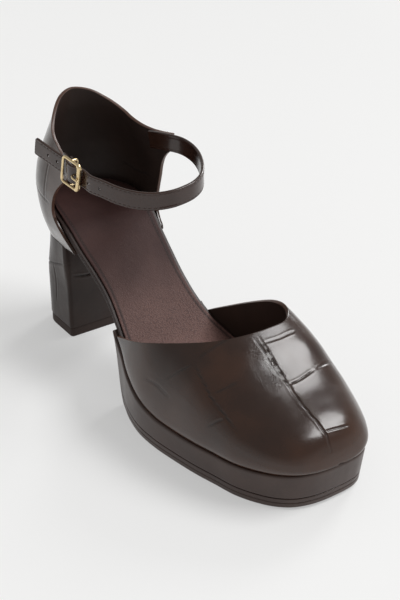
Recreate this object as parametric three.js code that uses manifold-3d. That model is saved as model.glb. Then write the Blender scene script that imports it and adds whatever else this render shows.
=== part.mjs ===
// Platform shoe with a block heel, a closed toe, a heel cup and a buckled ankle strap.
// Right shoe, millimetres, +X to the toe, +Y to the inner (medial) side, +Z up.
import * as THREE from 'three';
import { mergeVertices } from 'three/addons/utils/BufferGeometryUtils.js';
import Module from 'manifold-3d';

const wasm = await Module();
wasm.setup();

// Named sizes
const footLength = 247.5;       // heel back to toe tip, along the edge of the last
const ballWidth = 88;           // across the joints of the foot
const heelHeight = 87;          // floor to the sock at the heel
const collarHeight = 145;       // floor to the top of the heel cup
const instepHeight = 70.5;      // floor to the throat of the vamp
const leather = 1.9;            // wall of vamp and heel cup, lining included
const gap = 0.3;                // clearance between neighbouring pieces
const sockThickness = 1.2;
const boardThickness = 2.6;
const waistThickness = 2.2;
const outsoleThickness = 6;
const platformInset = 2;        // the tread is this much inside the platform's top edge
const platformEdge = 1.4;       // rounding of the platform's top edge
const treadChamfer = 1.2;
const toeSpring = 1.6;
const treadRear = 118;          // where the tread leaves the floor
const platformRear = 104;       // where the platform runs out under the waist
const heelBase = 38.5;          // breast of the heel, from the heel's back
const heelBaseWidth = 50;
const heelTipThickness = 6;
const heelRim = 66;             // floor to the heel cup's lower edge at the back
const heelRimFall = 0.05;       // how fast that edge drops towards the front
const heelPlug = 5.2;           // the block's seat stands this far inside its rim
const heelTipInset = 0.4;
const heelMiddle = 19;          // where the heel's round back meets its straight sides
const heelCorner = 1.6;         // corner of the heel's breast
const treadEdge = 0.4;          // the platform stands out this far past the last's edge
const strapWidth = 10.4;
const strapThickness = 1.8;
const buckleLength = 15;
const buckleHeight = 17;
const barRadius = 0.8;
const frontBarRadius = 1.3;
const prongRadius = 0.6;
const holeRadius = 0.95;
const holePitch = 9;
const tabThickness = 1.0;
const tabWidth = 8.6;
const strapHump = 1.9;          // the strap rises this much over the tab
const barClear = 0.3;           // between the centre bar and the tab round it
const buckleEase = 0.25;        // further room where the strap bends round the buckle

// Plan of the last's edge: along as a share of footLength, the sides as shares of ballWidth
const LAST_EDGE = [
  { along: 0.000, lateral: 0.000, medial: 0.000 },
  { along: 0.004, lateral: 0.080, medial: 0.080 },
  { along: 0.012, lateral: 0.150, medial: 0.150 },
  { along: 0.032, lateral: 0.240, medial: 0.240 },
  { along: 0.060, lateral: 0.305, medial: 0.300 },
  { along: 0.100, lateral: 0.350, medial: 0.345 },
  { along: 0.155, lateral: 0.368, medial: 0.360 },
  { along: 0.200, lateral: 0.374, medial: 0.340 },
  { along: 0.250, lateral: 0.374, medial: 0.317 },
  { along: 0.300, lateral: 0.366, medial: 0.298 },
  { along: 0.355, lateral: 0.367, medial: 0.282 },
  { along: 0.410, lateral: 0.390, medial: 0.284 },
  { along: 0.470, lateral: 0.430, medial: 0.307 },
  { along: 0.525, lateral: 0.484, medial: 0.343 },
  { along: 0.585, lateral: 0.518, medial: 0.390 },
  { along: 0.645, lateral: 0.516, medial: 0.438 },
  { along: 0.705, lateral: 0.492, medial: 0.472 },
  { along: 0.770, lateral: 0.457, medial: 0.484 },
  { along: 0.820, lateral: 0.420, medial: 0.476 },
  { along: 0.873, lateral: 0.381, medial: 0.460 },
  { along: 0.917, lateral: 0.324, medial: 0.428 },
  { along: 0.954, lateral: 0.254, medial: 0.385 },
  { along: 0.980, lateral: 0.170, medial: 0.332 },
  { along: 0.994, lateral: 0.072, medial: 0.262 },
  { along: 0.999, lateral: -0.015, medial: 0.185 },
  { along: 1.000, lateral: -0.075, medial: 0.120 },
];

// Height of the sock's top along the foot, as shares of footLength and heelHeight
const SEAT = [
  { along: 0.00, height: 1.000 },
  { along: 0.10, height: 0.983 },
  { along: 0.18, height: 0.930 },
  { along: 0.24, height: 0.845 },
  { along: 0.32, height: 0.715 },
  { along: 0.36, height: 0.645 },
  { along: 0.44, height: 0.500 },
  { along: 0.50, height: 0.415 },
  { along: 0.57, height: 0.342 },
  { along: 0.62, height: 0.303 },
  { along: 0.67, height: 0.283 },
  { along: 0.74, height: 0.276 },
  { along: 0.83, height: 0.277 },
  { along: 0.91, height: 0.287 },
  { along: 1.00, height: 0.310 },
];

// Vamp sections: height as a share of instepHeight, the crown's place across as a share of
// ballWidth, and how full each side of the section is (2 is an ellipse, more is boxier)
const VAMP = [
  { along: 0.395, height: 1.46, across: 0.09, lateralFull: 1.80, medialFull: 2.8 },
  { along: 0.525, height: 1.31, across: 0.10, lateralFull: 1.85, medialFull: 2.9 },
  { along: 0.605, height: 1.19, across: 0.11, lateralFull: 1.95, medialFull: 3.0 },
  { along: 0.645, height: 1.13, across: 0.12, lateralFull: 2.00, medialFull: 3.1 },
  { along: 0.685, height: 1.07, across: 0.13, lateralFull: 2.15, medialFull: 3.3 },
  { along: 0.720, height: 1.00, across: 0.14, lateralFull: 2.40, medialFull: 3.5 },
  { along: 0.752, height: 0.94, across: 0.15, lateralFull: 2.70, medialFull: 3.6 },
  { along: 0.784, height: 0.88, across: 0.15, lateralFull: 2.90, medialFull: 3.6 },
  { along: 0.816, height: 0.81, across: 0.14, lateralFull: 3.00, medialFull: 3.6 },
  { along: 0.848, height: 0.75, across: 0.14, lateralFull: 3.00, medialFull: 3.5 },
  { along: 0.880, height: 0.695, across: 0.125, lateralFull: 2.90, medialFull: 3.3 },
  { along: 0.913, height: 0.648, across: 0.115, lateralFull: 2.80, medialFull: 3.1 },
  { along: 0.941, height: 0.608, across: 0.108, lateralFull: 2.70, medialFull: 2.9 },
  { along: 0.964, height: 0.564, across: 0.102, lateralFull: 2.60, medialFull: 2.7 },
  { along: 0.980, height: 0.510, across: 0.100, lateralFull: 2.50, medialFull: 2.6 },
  { along: 0.991, height: 0.445, across: 0.098, lateralFull: 2.40, medialFull: 2.5 },
  { along: 0.998, height: 0.380, across: 0.097, lateralFull: 2.30, medialFull: 2.4 },
  { along: 1.000, height: 0.342, across: 0.097, lateralFull: 2.20, medialFull: 2.2 },
];

// Side view of the vamp's topline on each side, as shares of footLength and instepHeight
const TOPLINE = {
  medial: [
    { along: 0.436, height: 0.530 },
    { along: 0.450, height: 0.565 },
    { along: 0.470, height: 0.608 },
    { along: 0.500, height: 0.670 },
    { along: 0.550, height: 0.772 },
    { along: 0.600, height: 0.868 },
    { along: 0.640, height: 0.938 },
    { along: 0.672, height: 0.975 },
    { along: 0.700, height: 0.984 },
    { along: 0.724, height: 0.975 },
    { along: 0.741, height: 0.964 },
  ],
  lateral: [
    { along: 0.404, height: 0.502 },
    { along: 0.428, height: 0.558 },
    { along: 0.453, height: 0.602 },
    { along: 0.489, height: 0.658 },
    { along: 0.532, height: 0.719 },
    { along: 0.595, height: 0.806 },
    { along: 0.641, height: 0.863 },
    { along: 0.676, height: 0.903 },
    { along: 0.704, height: 0.933 },
    { along: 0.724, height: 0.951 },
    { along: 0.741, height: 0.962 },
  ],
};

// Heel cup by height: height as a share of the way from the cup's lower edge to its top, back as
// a share of footLength, half width at the heel's middle and at each wing's end as shares of
// ballWidth, and how full the back is
const CUP = [
  { height: -0.101, back: 0.022, middle: 0.289, lateralWing: 0.330, medialWing: 0.295, full: 2.15 },
  { height: -0.026, back: 0.015, middle: 0.314, lateralWing: 0.357, medialWing: 0.318, full: 2.15 },
  { height: 0.051, back: 0.008, middle: 0.339, lateralWing: 0.380, medialWing: 0.339, full: 2.15 },
  { height: 0.126, back: 0.002, middle: 0.361, lateralWing: 0.395, medialWing: 0.352, full: 2.15 },
  { height: 0.214, back: -0.005, middle: 0.377, lateralWing: 0.402, medialWing: 0.361, full: 2.15 },
  { height: 0.304, back: -0.011, middle: 0.386, lateralWing: 0.405, medialWing: 0.368, full: 2.15 },
  { height: 0.405, back: -0.015, middle: 0.389, lateralWing: 0.402, medialWing: 0.373, full: 2.15 },
  { height: 0.506, back: -0.015, middle: 0.377, lateralWing: 0.395, medialWing: 0.373, full: 2.15 },
  { height: 0.607, back: -0.011, middle: 0.352, lateralWing: 0.382, medialWing: 0.368, full: 2.1 },
  { height: 0.695, back: -0.006, middle: 0.322, lateralWing: 0.368, medialWing: 0.364, full: 2.0 },
  { height: 0.785, back: 0.000, middle: 0.291, lateralWing: 0.357, medialWing: 0.357, full: 1.9 },
  { height: 0.861, back: 0.006, middle: 0.273, lateralWing: 0.352, medialWing: 0.352, full: 1.75 },
  { height: 0.938, back: 0.010, middle: 0.264, lateralWing: 0.347, medialWing: 0.347, full: 1.65 },
  { height: 1.088, back: 0.018, middle: 0.255, lateralWing: 0.341, medialWing: 0.341, full: 1.6 },
];
const cupMiddle = 30;           // where the cup's round back meets its straighter sides
const wingEnd = { medial: 66, lateral: 60 };

// Side view of the heel cup's edge, collar first, then down the wing's front edge to the seat,
// along as a share of footLength, height as in CUP
const COLLAR = {
  medial: [
    { along: 0.012, height: 1.000 },
    { along: 0.032, height: 0.982 },
    { along: 0.065, height: 0.921 },
    { along: 0.105, height: 0.855 },
    { along: 0.154, height: 0.805 },
    { along: 0.194, height: 0.796 },
    { along: 0.230, height: 0.805 },
    { along: 0.267, height: 0.822 },
  ],
  lateral: [
    { along: 0.012, height: 1.000 },
    { along: 0.032, height: 0.967 },
    { along: 0.065, height: 0.881 },
    { along: 0.105, height: 0.794 },
    { along: 0.154, height: 0.739 },
    { along: 0.190, height: 0.721 },
    { along: 0.218, height: 0.739 },
    { along: 0.242, height: 0.769 },
  ],
};
const WING_FRONT = {
  medial: [
    { along: 0.267, height: 0.693 },
    { along: 0.251, height: 0.664 },
    { along: 0.230, height: 0.602 },
    { along: 0.213, height: 0.519 },
    { along: 0.201, height: 0.405 },
    { along: 0.193, height: 0.279 },
    { along: 0.192, height: 0.209 },
    { along: 0.196, height: 0.152 },
    { along: 0.210, height: 0.093 },
    { along: 0.232, height: 0.038 },
  ],
  lateral: [
    { along: 0.242, height: 0.655 },
    { along: 0.222, height: 0.607 },
    { along: 0.202, height: 0.552 },
    { along: 0.177, height: 0.468 },
    { along: 0.161, height: 0.374 },
    { along: 0.153, height: 0.284 },
    { along: 0.155, height: 0.227 },
    { along: 0.167, height: 0.174 },
    { along: 0.187, height: 0.124 },
    { along: 0.208, height: 0.077 },
    { along: 0.232, height: 0.033 },
  ],
};

// Heel block by height, from the tip up to the cup's lower edge: back as a share of footLength,
// half width as a share of ballWidth, breast as a share of heelBase
const HEEL = [
  { rise: 0.00, back: 0.008, side: 0.284, breast: 1.00 },
  { rise: 0.40, back: 0.009, side: 0.289, breast: 1.00 },
  { rise: 0.75, back: 0.010, side: 0.297, breast: 1.01 },
  { rise: 1.00, back: 0.012, side: 0.306, breast: 1.03 },
];
const BREAST_TOP = 1.12;        // the breast leans forward to here under the waist

// Middle line of the ankle strap from the medial wing round the front to the buckle's near side,
// height as in CUP
const STRAP = [
  { along: 0.205, across: 0.282, height: 0.725 },
  { along: 0.234, across: 0.296, height: 0.745 },
  { along: 0.267, across: 0.318, height: 0.758 },
  { along: 0.299, across: 0.348, height: 0.760 },
  { along: 0.331, across: 0.357, height: 0.752 },
  { along: 0.364, across: 0.343, height: 0.741 },
  { along: 0.396, across: 0.310, height: 0.728 },
  { along: 0.428, across: 0.258, height: 0.717 },
  { along: 0.455, across: 0.193, height: 0.706 },
  { along: 0.471, across: 0.111, height: 0.695 },
  { along: 0.475, across: 0.030, height: 0.684 },
  { along: 0.473, across: -0.057, height: 0.675 },
  { along: 0.460, across: -0.148, height: 0.668 },
  { along: 0.433, across: -0.230, height: 0.666 },
  { along: 0.396, across: -0.298, height: 0.675 },
  { along: 0.360, across: -0.343, height: 0.692 },
];
const buckleCentre = { along: 0.273, across: -0.400, height: 0.728 };
const strapTip = { along: 0.145, across: -0.461, height: 0.798 };

const COLOUR = {
  leather: new THREE.Color(0x3a2c27),
  sock: new THREE.Color(0x62453f),
  wrap: new THREE.Color(0x3f302a),
  tread: new THREE.Color(0x2c221f),
  brass: new THREE.Color(0xc9b184),
};

// Small helpers

// Smooth curve through rows, monotone between them
function smooth(rows, key, value, keyScale, valueScale) {
  const x = rows.map((row) => row[key] * keyScale);
  const y = rows.map((row) => row[value] * valueScale);
  const slope = [];
  for (let i = 0; i < x.length - 1; i++) slope.push((y[i + 1] - y[i]) / (x[i + 1] - x[i]));
  const tangent = x.map((_, i) => {
    if (i === 0) return slope[0];
    if (i === x.length - 1) return slope[i - 1];
    const before = slope[i - 1];
    const after = slope[i];
    return before * after <= 0 ? 0 : (2 * before * after) / (before + after);
  });
  return (at) => {
    const t = Math.min(Math.max(at, x[0]), x[x.length - 1]);
    let i = 0;
    while (i < x.length - 2 && t > x[i + 1]) i++;
    const h = x[i + 1] - x[i];
    const s = (t - x[i]) / h;
    const s2 = s * s;
    const s3 = s2 * s;
    return (2 * s3 - 3 * s2 + 1) * y[i] + (s3 - 2 * s2 + s) * h * tangent[i]
      + (3 * s2 - 2 * s3) * y[i + 1] + (s3 - s2) * h * tangent[i + 1];
  };
}

// Value of a smooth plan curve at a place along the foot, for sides that turn in steeply
function side(column) {
  const points = LAST_EDGE.map((row) => (
    new THREE.Vector3(row.along * footLength, row[column] * ballWidth, 0)));
  const line = new THREE.CatmullRomCurve3(points, false, 'centripetal').getPoints(900);
  return (at) => {
    if (at <= line[0].x) return line[0].y;
    for (let i = 1; i < line.length; i++) {
      if (line[i].x >= at) {
        const part = (at - line[i - 1].x) / Math.max(line[i].x - line[i - 1].x, 1e-9);
        return THREE.MathUtils.lerp(line[i - 1].y, line[i].y, part);
      }
    }
    return line[line.length - 1].y;
  };
}

const edgeLateral = side('lateral');
const edgeMedial = side('medial');
const seatHeight = smooth(SEAT, 'along', 'height', footLength, heelHeight);
const sockBottom = (x) => seatHeight(x) - sockThickness;
const boardTop = (x) => sockBottom(x) - gap;
const boardBottom = (x) => boardTop(x) - boardThickness;
const lowerTop = (x) => boardBottom(x) - gap;     // top of platform, waist sole and heel block
const rimHeight = (x) => heelRim - heelRimFall * x;
const cupHeight = collarHeight - heelRim;
const aboveRim = (share) => heelRim + share * cupHeight;

// Places from start to end, packed closer towards ends that turn in
function stations(start, end, count, packStart, packEnd) {
  const places = [];
  for (let i = 0; i <= count; i++) {
    const t = i / count;
    const left = packStart ? 1 - Math.cos(t * Math.PI / 2) : t;
    const right = packEnd ? Math.sin(t * Math.PI / 2) : t;
    const share = packStart && packEnd ? (1 - Math.cos(t * Math.PI)) / 2 : packStart ? left : right;
    places.push(THREE.MathUtils.lerp(start, end, share));
  }
  return places;
}

// Two triangles between each pair of neighbouring points on neighbouring rings
function sideTriangles(rings) {
  const count = rings[0].length;
  const index = [];
  for (let r = 0; r < rings.length - 1; r++) {
    for (let i = 0; i < count; i++) {
      const a = r * count + i;
      const b = r * count + (i + 1) % count;
      index.push(a, b, b + count, a, b + count, a + count);
    }
  }
  return index;
}

function geometryOf(rings, index) {
  const positions = rings.flat().flatMap((p) => [p.x, p.y, p.z]);
  const geometry = new THREE.BufferGeometry();
  geometry.setAttribute('position', new THREE.Float32BufferAttribute(positions, 3));
  geometry.setIndex(index);
  return geometry;
}

// Closed body through rings of the same number of points; ends are capped in the given plane
function skin(rings, plane) {
  const index = sideTriangles(rings);
  const [u, v] = { x: ['y', 'z'], y: ['z', 'x'], z: ['x', 'y'] }[plane];
  const flat = (p) => new THREE.Vector2(p[u], p[v]);
  const cap = (r, first) => {
    const outline = rings[r].map(flat);
    const offset = r * outline.length;
    const turned = first !== THREE.ShapeUtils.isClockWise(outline);
    for (const [a, b, c] of THREE.ShapeUtils.triangulateShape(outline, [])) {
      index.push(offset + a, offset + (turned ? c : b), offset + (turned ? b : c));
    }
  };
  cap(0, true);
  cap(rings.length - 1, false);
  return geometryOf(rings, index);
}

function signedVolume(geometry) {
  const p = geometry.getAttribute('position');
  const index = geometry.getIndex();
  const corner = [new THREE.Vector3(), new THREE.Vector3(), new THREE.Vector3()];
  let volume = 0;
  for (let i = 0; i < index.count; i += 3) {
    corner.forEach((c, k) => c.fromBufferAttribute(p, index.getX(i + k)));
    volume += corner[0].dot(corner[1].clone().cross(corner[2])) / 6;
  }
  return volume;
}

function solid(geometry) {
  const bare = geometry.clone();
  bare.deleteAttribute('normal');
  bare.deleteAttribute('uv');
  const merged = mergeVertices(bare, 1e-4);
  const triangles = new Uint32Array(merged.getIndex().array);
  if (signedVolume(merged) < 0) {
    for (let i = 0; i < triangles.length; i += 3) {
      [triangles[i + 1], triangles[i + 2]] = [triangles[i + 2], triangles[i + 1]];
    }
  }
  const vertices = new Float32Array(merged.getAttribute('position').array);
  const mesh = new wasm.Mesh({ numProp: 3, vertProperties: vertices, triVerts: triangles });
  return new wasm.Manifold(mesh);
}

function meshOf(name, body, colour, roughness, metalness) {
  const raw = body.getMesh();
  const geometry = new THREE.BufferGeometry();
  geometry.setAttribute('position', new THREE.Float32BufferAttribute(raw.vertProperties, 3));
  geometry.setIndex(Array.from(raw.triVerts));
  geometry.computeVertexNormals();
  const material = new THREE.MeshStandardMaterial({ color: colour, roughness, metalness });
  const mesh = new THREE.Mesh(geometry, material);
  mesh.name = name;
  return mesh;
}

// Upright prism across the shoe, from its side view outline
function prismAcross(outline, from, to) {
  const shape = new THREE.Shape(outline.map(([x, z]) => new THREE.Vector2(x, z)));
  const geometry = new THREE.ExtrudeGeometry(shape, { depth: to - from, bevelEnabled: false });
  geometry.rotateX(Math.PI / 2);
  geometry.translate(0, to, 0);
  return solid(geometry);
}

// Layer that follows the foot: chamfered box sections between a bottom and a top height
function layer({ start, end, inset, bottomInset, bottom, top, topEdge, bottomEdge, count }) {
  const [first, last] = [start + inset, end - inset];
  const rings = stations(first, last, count, true, true).map((x) => {
    const from = start + ((x - first) / (last - first)) * (end - start);
    const [low, high] = [bottom(x), top(x)];
    const l = -edgeLateral(from) + inset;
    const m = edgeMedial(from) - inset;
    const narrow = Math.max((m - l) / 2 - 0.6, 0.05);
    const edge = Math.min(topEdge, narrow, (high - low) / 3);
    const under = Math.min(bottomEdge + bottomInset, narrow);
    const foot = Math.min(bottomInset, narrow);
    const lift = Math.min(bottomEdge, (high - low) / 3);
    const section = [
      [l + under, low], [l + foot, low + lift], [l, high - edge], [l + edge, high],
      [m - edge, high], [m, high - edge], [m - foot, low + lift], [m - under, low],
    ];
    return section.map(([y, z]) => new THREE.Vector3(x, y, z));
  });
  return solid(skin(rings, 'x'));
}

// Sole pieces

const insoleInset = leather + gap + 0.2;
const insoleToe = footLength - 2.6;   // clear of the curve inside the toe

function sockLining() {
  return layer({ start: 0, end: insoleToe, inset: insoleInset + 0.5, bottomInset: 0,
    bottom: sockBottom, top: seatHeight, topEdge: 0.4, bottomEdge: 0, count: 36 });
}

function insoleBoard() {
  return layer({ start: 0, end: insoleToe, inset: insoleInset, bottomInset: 0,
    bottom: boardBottom, top: boardTop, topEdge: 0.6, bottomEdge: 0.6, count: 36 });
}

function waistSole() {
  const start = heelBase * BREAST_TOP + gap;
  const places = stations(start, platformRear - gap, 20, false, false);
  const rings = places.map((x) => {
    const l = -edgeLateral(x) + insoleInset + 0.3;
    const m = edgeMedial(x) - insoleInset - 0.3;
    const high = lowerTop(x);
    const low = high - waistThickness;
    return [[l + 1, low], [l, high - 0.8], [l, high], [m, high], [m, high - 0.8], [m - 1, low]]
      .map(([y, z]) => new THREE.Vector3(x, y, z));
  });
  return solid(skin(rings, 'x'));
}

// Underside of the forefoot: flat on the floor, rising behind the tread and at the toe
function treadHeight(x) {
  const toe = Math.max((x - 0.86 * footLength) / (0.14 * footLength), 0);
  const rear = Math.max((treadRear - x) / (treadRear - platformRear), 0);
  return toeSpring * toe * toe + (lowerTop(platformRear) - 2 * waistThickness) * rear * rear;
}

const outsoleTop = (x) => Math.min(treadHeight(x) * 0.86 + outsoleThickness, lowerTop(x) - 1.4);

function forefoot(name) {
  const wrap = name === 'platform';
  const places = stations(platformRear, footLength, 38, false, true);
  const rings = places.map((x) => {
    const low = wrap ? outsoleTop(x) + gap : treadHeight(x);
    const high = wrap ? lowerTop(x) : outsoleTop(x);
    const base = treadHeight(x);
    const slope = platformInset / (lowerTop(x) - base);
    const l = -edgeLateral(x) - treadEdge;
    const m = edgeMedial(x) + treadEdge;
    const half = (m - l) / 2 - 0.4;
    const at = (z) => Math.min((lowerTop(x) - z) * slope, half);
    const top = wrap ? Math.min(platformEdge, (high - low) / 3) : Math.min(0.5, (high - low) / 4);
    const foot = wrap ? Math.min(0.5, (high - low) / 4) : Math.min(treadChamfer, (high - low) / 3);
    const inset = (z, extra) => Math.min(at(z) + extra, half);
    const rows = [
      [inset(low, foot), low],
      [inset(low + foot, 0), low + foot],
      [inset(high - top, 0), high - top],
      [inset(high - top * 0.3, top * 0.3), high - top * 0.3],
      [inset(high, top), high],
    ];
    const left = rows.map(([y, z]) => new THREE.Vector3(x, l + y, z));
    const right = rows.map(([y, z]) => new THREE.Vector3(x, m - y, z)).reverse();
    return [...left, ...right];
  });
  return solid(skin(rings, 'x'));
}

// Heel

const heelBack = smooth(HEEL, 'rise', 'back', 1, footLength);
const heelSide = smooth(HEEL, 'rise', 'side', 1, ballWidth);
const heelBreast = smooth(HEEL, 'rise', 'breast', 1, heelBase);

// D-shaped section of the heel: round back, straight sides, flat breast with small corners
function heelRing({ rise, inset, breast, heightAt }) {
  const back = heelBack(rise) + inset;
  const width = heelSide(rise) * (heelBaseWidth / (2 * heelSide(0)) * (1 - rise) + rise) - inset;
  const cut = heelCorner * 0.3;
  const half = [[breast, width - heelCorner], [breast - cut, width - cut], [breast - heelCorner, width]];
  half.push([heelMiddle + 8, width]);
  const steps = 7;
  for (let i = 0; i <= steps; i++) {
    const turn = Math.PI / 2 * (1 - i / steps);
    const full = 2 / 2.5;
    const x = heelMiddle - (heelMiddle - back) * Math.pow(Math.cos(turn), full);
    half.push([x, width * Math.pow(Math.max(Math.sin(turn), 0), full)]);
  }
  const lateral = half.map(([x, y]) => [x, -y]);
  const medial = half.slice(0, -1).reverse();
  return [...lateral, ...medial].map(([x, y]) => new THREE.Vector3(x, y, heightAt(x)));
}

function heelBlock() {
  const low = heelTipThickness + gap;
  const rim = (x) => rimHeight(x) - gap;
  const rises = [0, 0.01, 0.2, 0.4, 0.6, 0.8, 0.92, 1];
  const rings = rises.map((rise) => heelRing({
    rise,
    inset: rise === 0 ? 0.5 : 0,
    breast: heelBreast(rise),
    heightAt: (x) => THREE.MathUtils.lerp(low, rim(x), rise),
  }));
  const seat = { rise: 1, inset: heelPlug };
  rings.push(heelRing({ ...seat, breast: heelBreast(1) + 0.02, heightAt: rim }));
  rings.push(heelRing({ ...seat, breast: heelBase * BREAST_TOP, heightAt: lowerTop }));
  return solid(skin(rings, 'z'));
}

function heelTip() {
  const rows = [[0, heelTipInset + 0.7], [0.7, heelTipInset], [heelTipThickness, heelTipInset]];
  const rings = rows.map(([z, inset]) => (
    heelRing({ rise: 0, inset, breast: heelBreast(0) - inset, heightAt: () => z })));
  return solid(skin(rings, 'z'));
}

// Vamp

const crownHeight = smooth(VAMP, 'along', 'height', footLength, instepHeight);
const crownAcross = smooth(VAMP, 'along', 'across', footLength, ballWidth);
const lateralFull = smooth(VAMP, 'along', 'lateralFull', footLength, 1);
const medialFull = smooth(VAMP, 'along', 'medialFull', footLength, 1);
const vampStart = VAMP[0].along * footLength;
const vampTuck = 0.8;           // how far the wall's outside turns in over the groove
const vampTuckHeight = 7;
const vampBulge = 2.2;          // how far the toe box stands out over the platform

// One section of the vamp across the foot, from the lateral edge over the crown to the medial
function vampRing(x, inset, drop) {
  const stretch = (footLength - vampStart) / (footLength - inset - vampStart);
  const at = vampStart + (x - vampStart) * stretch;
  const low = lowerTop(at) + gap;
  const crown = Math.max(crownHeight(at) - inset, low + 0.05);
  const middle = crownAcross(at);
  const halfWay = (edgeMedial(at) - edgeLateral(at)) / 2;
  const ends = [
    { y: Math.min(-edgeLateral(at) + inset, halfWay - 0.05), full: lateralFull(at), sign: -1 },
    { y: Math.max(edgeMedial(at) - inset, halfWay + 0.05), full: medialFull(at), sign: 1 },
  ];
  const swell = vampBulge * THREE.MathUtils.smoothstep(at, 0.6 * footLength, 0.85 * footLength);
  const steps = 10;
  const half = ({ y, full, sign }) => {
    const points = [];
    for (let i = 0; i <= steps; i++) {
      const turn = (i / steps) * Math.PI / 2;
      const out = Math.pow(Math.max(Math.cos(turn), 0), 2 / full);
      const z = low + (crown - low) * Math.pow(Math.sin(turn), 2 / full);
      const reach = inset > 0 ? 0 : vampTuck * Math.min((crown - low) / 12, 1);
      const tuck = reach * Math.max(1 - (z - low) / vampTuckHeight, 0) ** 2;
      const share = THREE.MathUtils.clamp((z - low) / (crown - low), 0, 1);
      const bulge = swell * Math.sin(Math.PI * share ** 0.7);
      const reachAcross = (y - middle + sign * (bulge - tuck)) * out;
      points.push(new THREE.Vector3(x, middle + reachAcross, z));
    }
    return points;
  };
  const left = half(ends[0]);
  const right = half(ends[1]).reverse().slice(1);
  const foot = (p) => new THREE.Vector3(x, p.y, p.z - drop);
  const ring = [...left, ...right];
  return drop > 0 ? [foot(left[0]), ...ring, foot(right[right.length - 1])] : ring;
}

function vampForm(inset, drop) {
  const places = stations(vampStart, footLength - inset, 31, false, true);
  return solid(skin(places.map((x) => vampRing(x, inset, drop)), 'x'));
}

// What the opening takes away, from the lateral side's topline over to the medial side's
function opening() {
  const turnWidth = 16;
  const behind = vampStart - 20;
  const above = 2 * collarHeight;
  const rings = [-ballWidth, -16, -8, 0, 8, 16, ballWidth].map((y) => {
    const share = THREE.MathUtils.smoothstep(y, -turnWidth, turnWidth);
    const line = TOPLINE.lateral.map((row, i) => [
      THREE.MathUtils.lerp(row.along, TOPLINE.medial[i].along, share) * footLength,
      THREE.MathUtils.lerp(row.height, TOPLINE.medial[i].height, share) * instepHeight,
    ]);
    const [first, last] = [line[0], line[line.length - 1]];
    const outline = [[behind, 0], [first[0] - 3, 0], ...line, [last[0] + 0.8, above], [behind, above]];
    return outline.map(([x, z]) => new THREE.Vector3(x, y, z));
  });
  return solid(skin(rings, 'y'));
}

function vamp() {
  return vampForm(0, 0).subtract(vampForm(leather, 8)).subtract(opening());
}

// Heel cup

function cupColumn(column, scale) {
  const curve = smooth(CUP, 'height', column, cupHeight, scale);
  return (z) => curve(z - heelRim);
}
const cupBack = cupColumn('back', footLength);
const cupMiddleWidth = cupColumn('middle', ballWidth);
const cupFull = cupColumn('full', 1);
const cupWing = {
  lateral: cupColumn('lateralWing', ballWidth),
  medial: cupColumn('medialWing', ballWidth),
};

// Half width of the cup's outside in front of its middle
function cupWidth(which, x, z) {
  const middle = cupMiddleWidth(z);
  const share = Math.max((x - cupMiddle) / (wingEnd.medial - cupMiddle), 0);
  return middle + (cupWing[which](z) - middle) * Math.pow(share, 1.3);
}

function cupRing(z, inset, front) {
  const back = cupBack(z) + inset;
  const full = 2 / cupFull(z);
  const half = (which, sign) => {
    const points = [];
    for (const x of stations(front, cupMiddle, 6, false, false)) {
      points.push([x, sign * (cupWidth(which, x, z) - inset)]);
    }
    const steps = 11;
    for (let i = 1; i <= steps; i++) {
      const turn = Math.PI / 2 * (1 - i / steps);
      const x = cupMiddle - (cupMiddle - back) * Math.pow(Math.cos(turn), full);
      points.push([x, sign * (cupMiddleWidth(z) - inset) * Math.pow(Math.max(Math.sin(turn), 0), full)]);
    }
    return points;
  };
  const lateral = half('lateral', -1);
  const medial = half('medial', 1).reverse().slice(1);
  return [...lateral, ...medial].map(([x, y]) => new THREE.Vector3(x, y, z));
}

function cupForm(inset, low, high, front) {
  const levels = 14;
  const rings = [];
  for (let i = 0; i <= levels; i++) {
    rings.push(cupRing(THREE.MathUtils.lerp(low, high, i / levels), inset, front));
  }
  return solid(skin(rings, 'z'));
}

// Side view of one half of the heel cup
function cupOutline(which) {
  const point = (row) => [row.along * footLength, aboveRim(row.height)];
  const top = COLLAR[which].map(point);
  const front = WING_FRONT[which].map(point);
  const behind = -12;
  const tail = front[front.length - 1][0] + 0.4;
  const seat = stations(tail, behind, 6, false, false).map((x) => [x, rimHeight(x)]);
  return [[behind, collarHeight], ...top, ...front, ...seat];
}

function heelCup() {
  const low = rimHeight(wingEnd.medial) - 2;
  const high = collarHeight + 3;
  const front = wingEnd.medial + 6;
  const shell = cupForm(0, low, high, front).subtract(cupForm(leather, low - 2, high + 2, front + 4));
  const inner = prismAcross(cupOutline('medial'), 0, ballWidth / 2);
  const outer = prismAcross(cupOutline('lateral'), -ballWidth / 2, 0);
  return shell.intersect(inner.add(outer));
}

// Strap and buckle

const place = (row) => (
  new THREE.Vector3(row.along * footLength, row.across * ballWidth, aboveRim(row.height)));

// Buckle frame of reference: u back along the strap, w up across it, n out of the shoe
function buckleAxes() {
  const origin = place(buckleCentre);
  const u = place(strapTip).sub(origin).normalize();
  const n = new THREE.Vector3(0, 0, 1).cross(u).normalize().negate();
  if (n.y > 0) n.negate();
  const w = n.clone().cross(u).normalize();
  if (w.z < 0) w.negate();
  return { origin, u, w, n };
}
const axes = buckleAxes();
const onBuckle = (u, w, n) => axes.origin.clone()
  .addScaledVector(axes.u, u).addScaledVector(axes.w, w).addScaledVector(axes.n, n);

// How far out each part of the buckle lies from the strap's middle
const half = strapThickness / 2;
const rearBarOut = half + gap + buckleEase + barRadius;
const centreBarOut = strapHump - half - gap - buckleEase - tabThickness - barClear - barRadius;
const frontDip = rearBarOut - frontBarRadius - gap - buckleEase - half;

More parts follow.
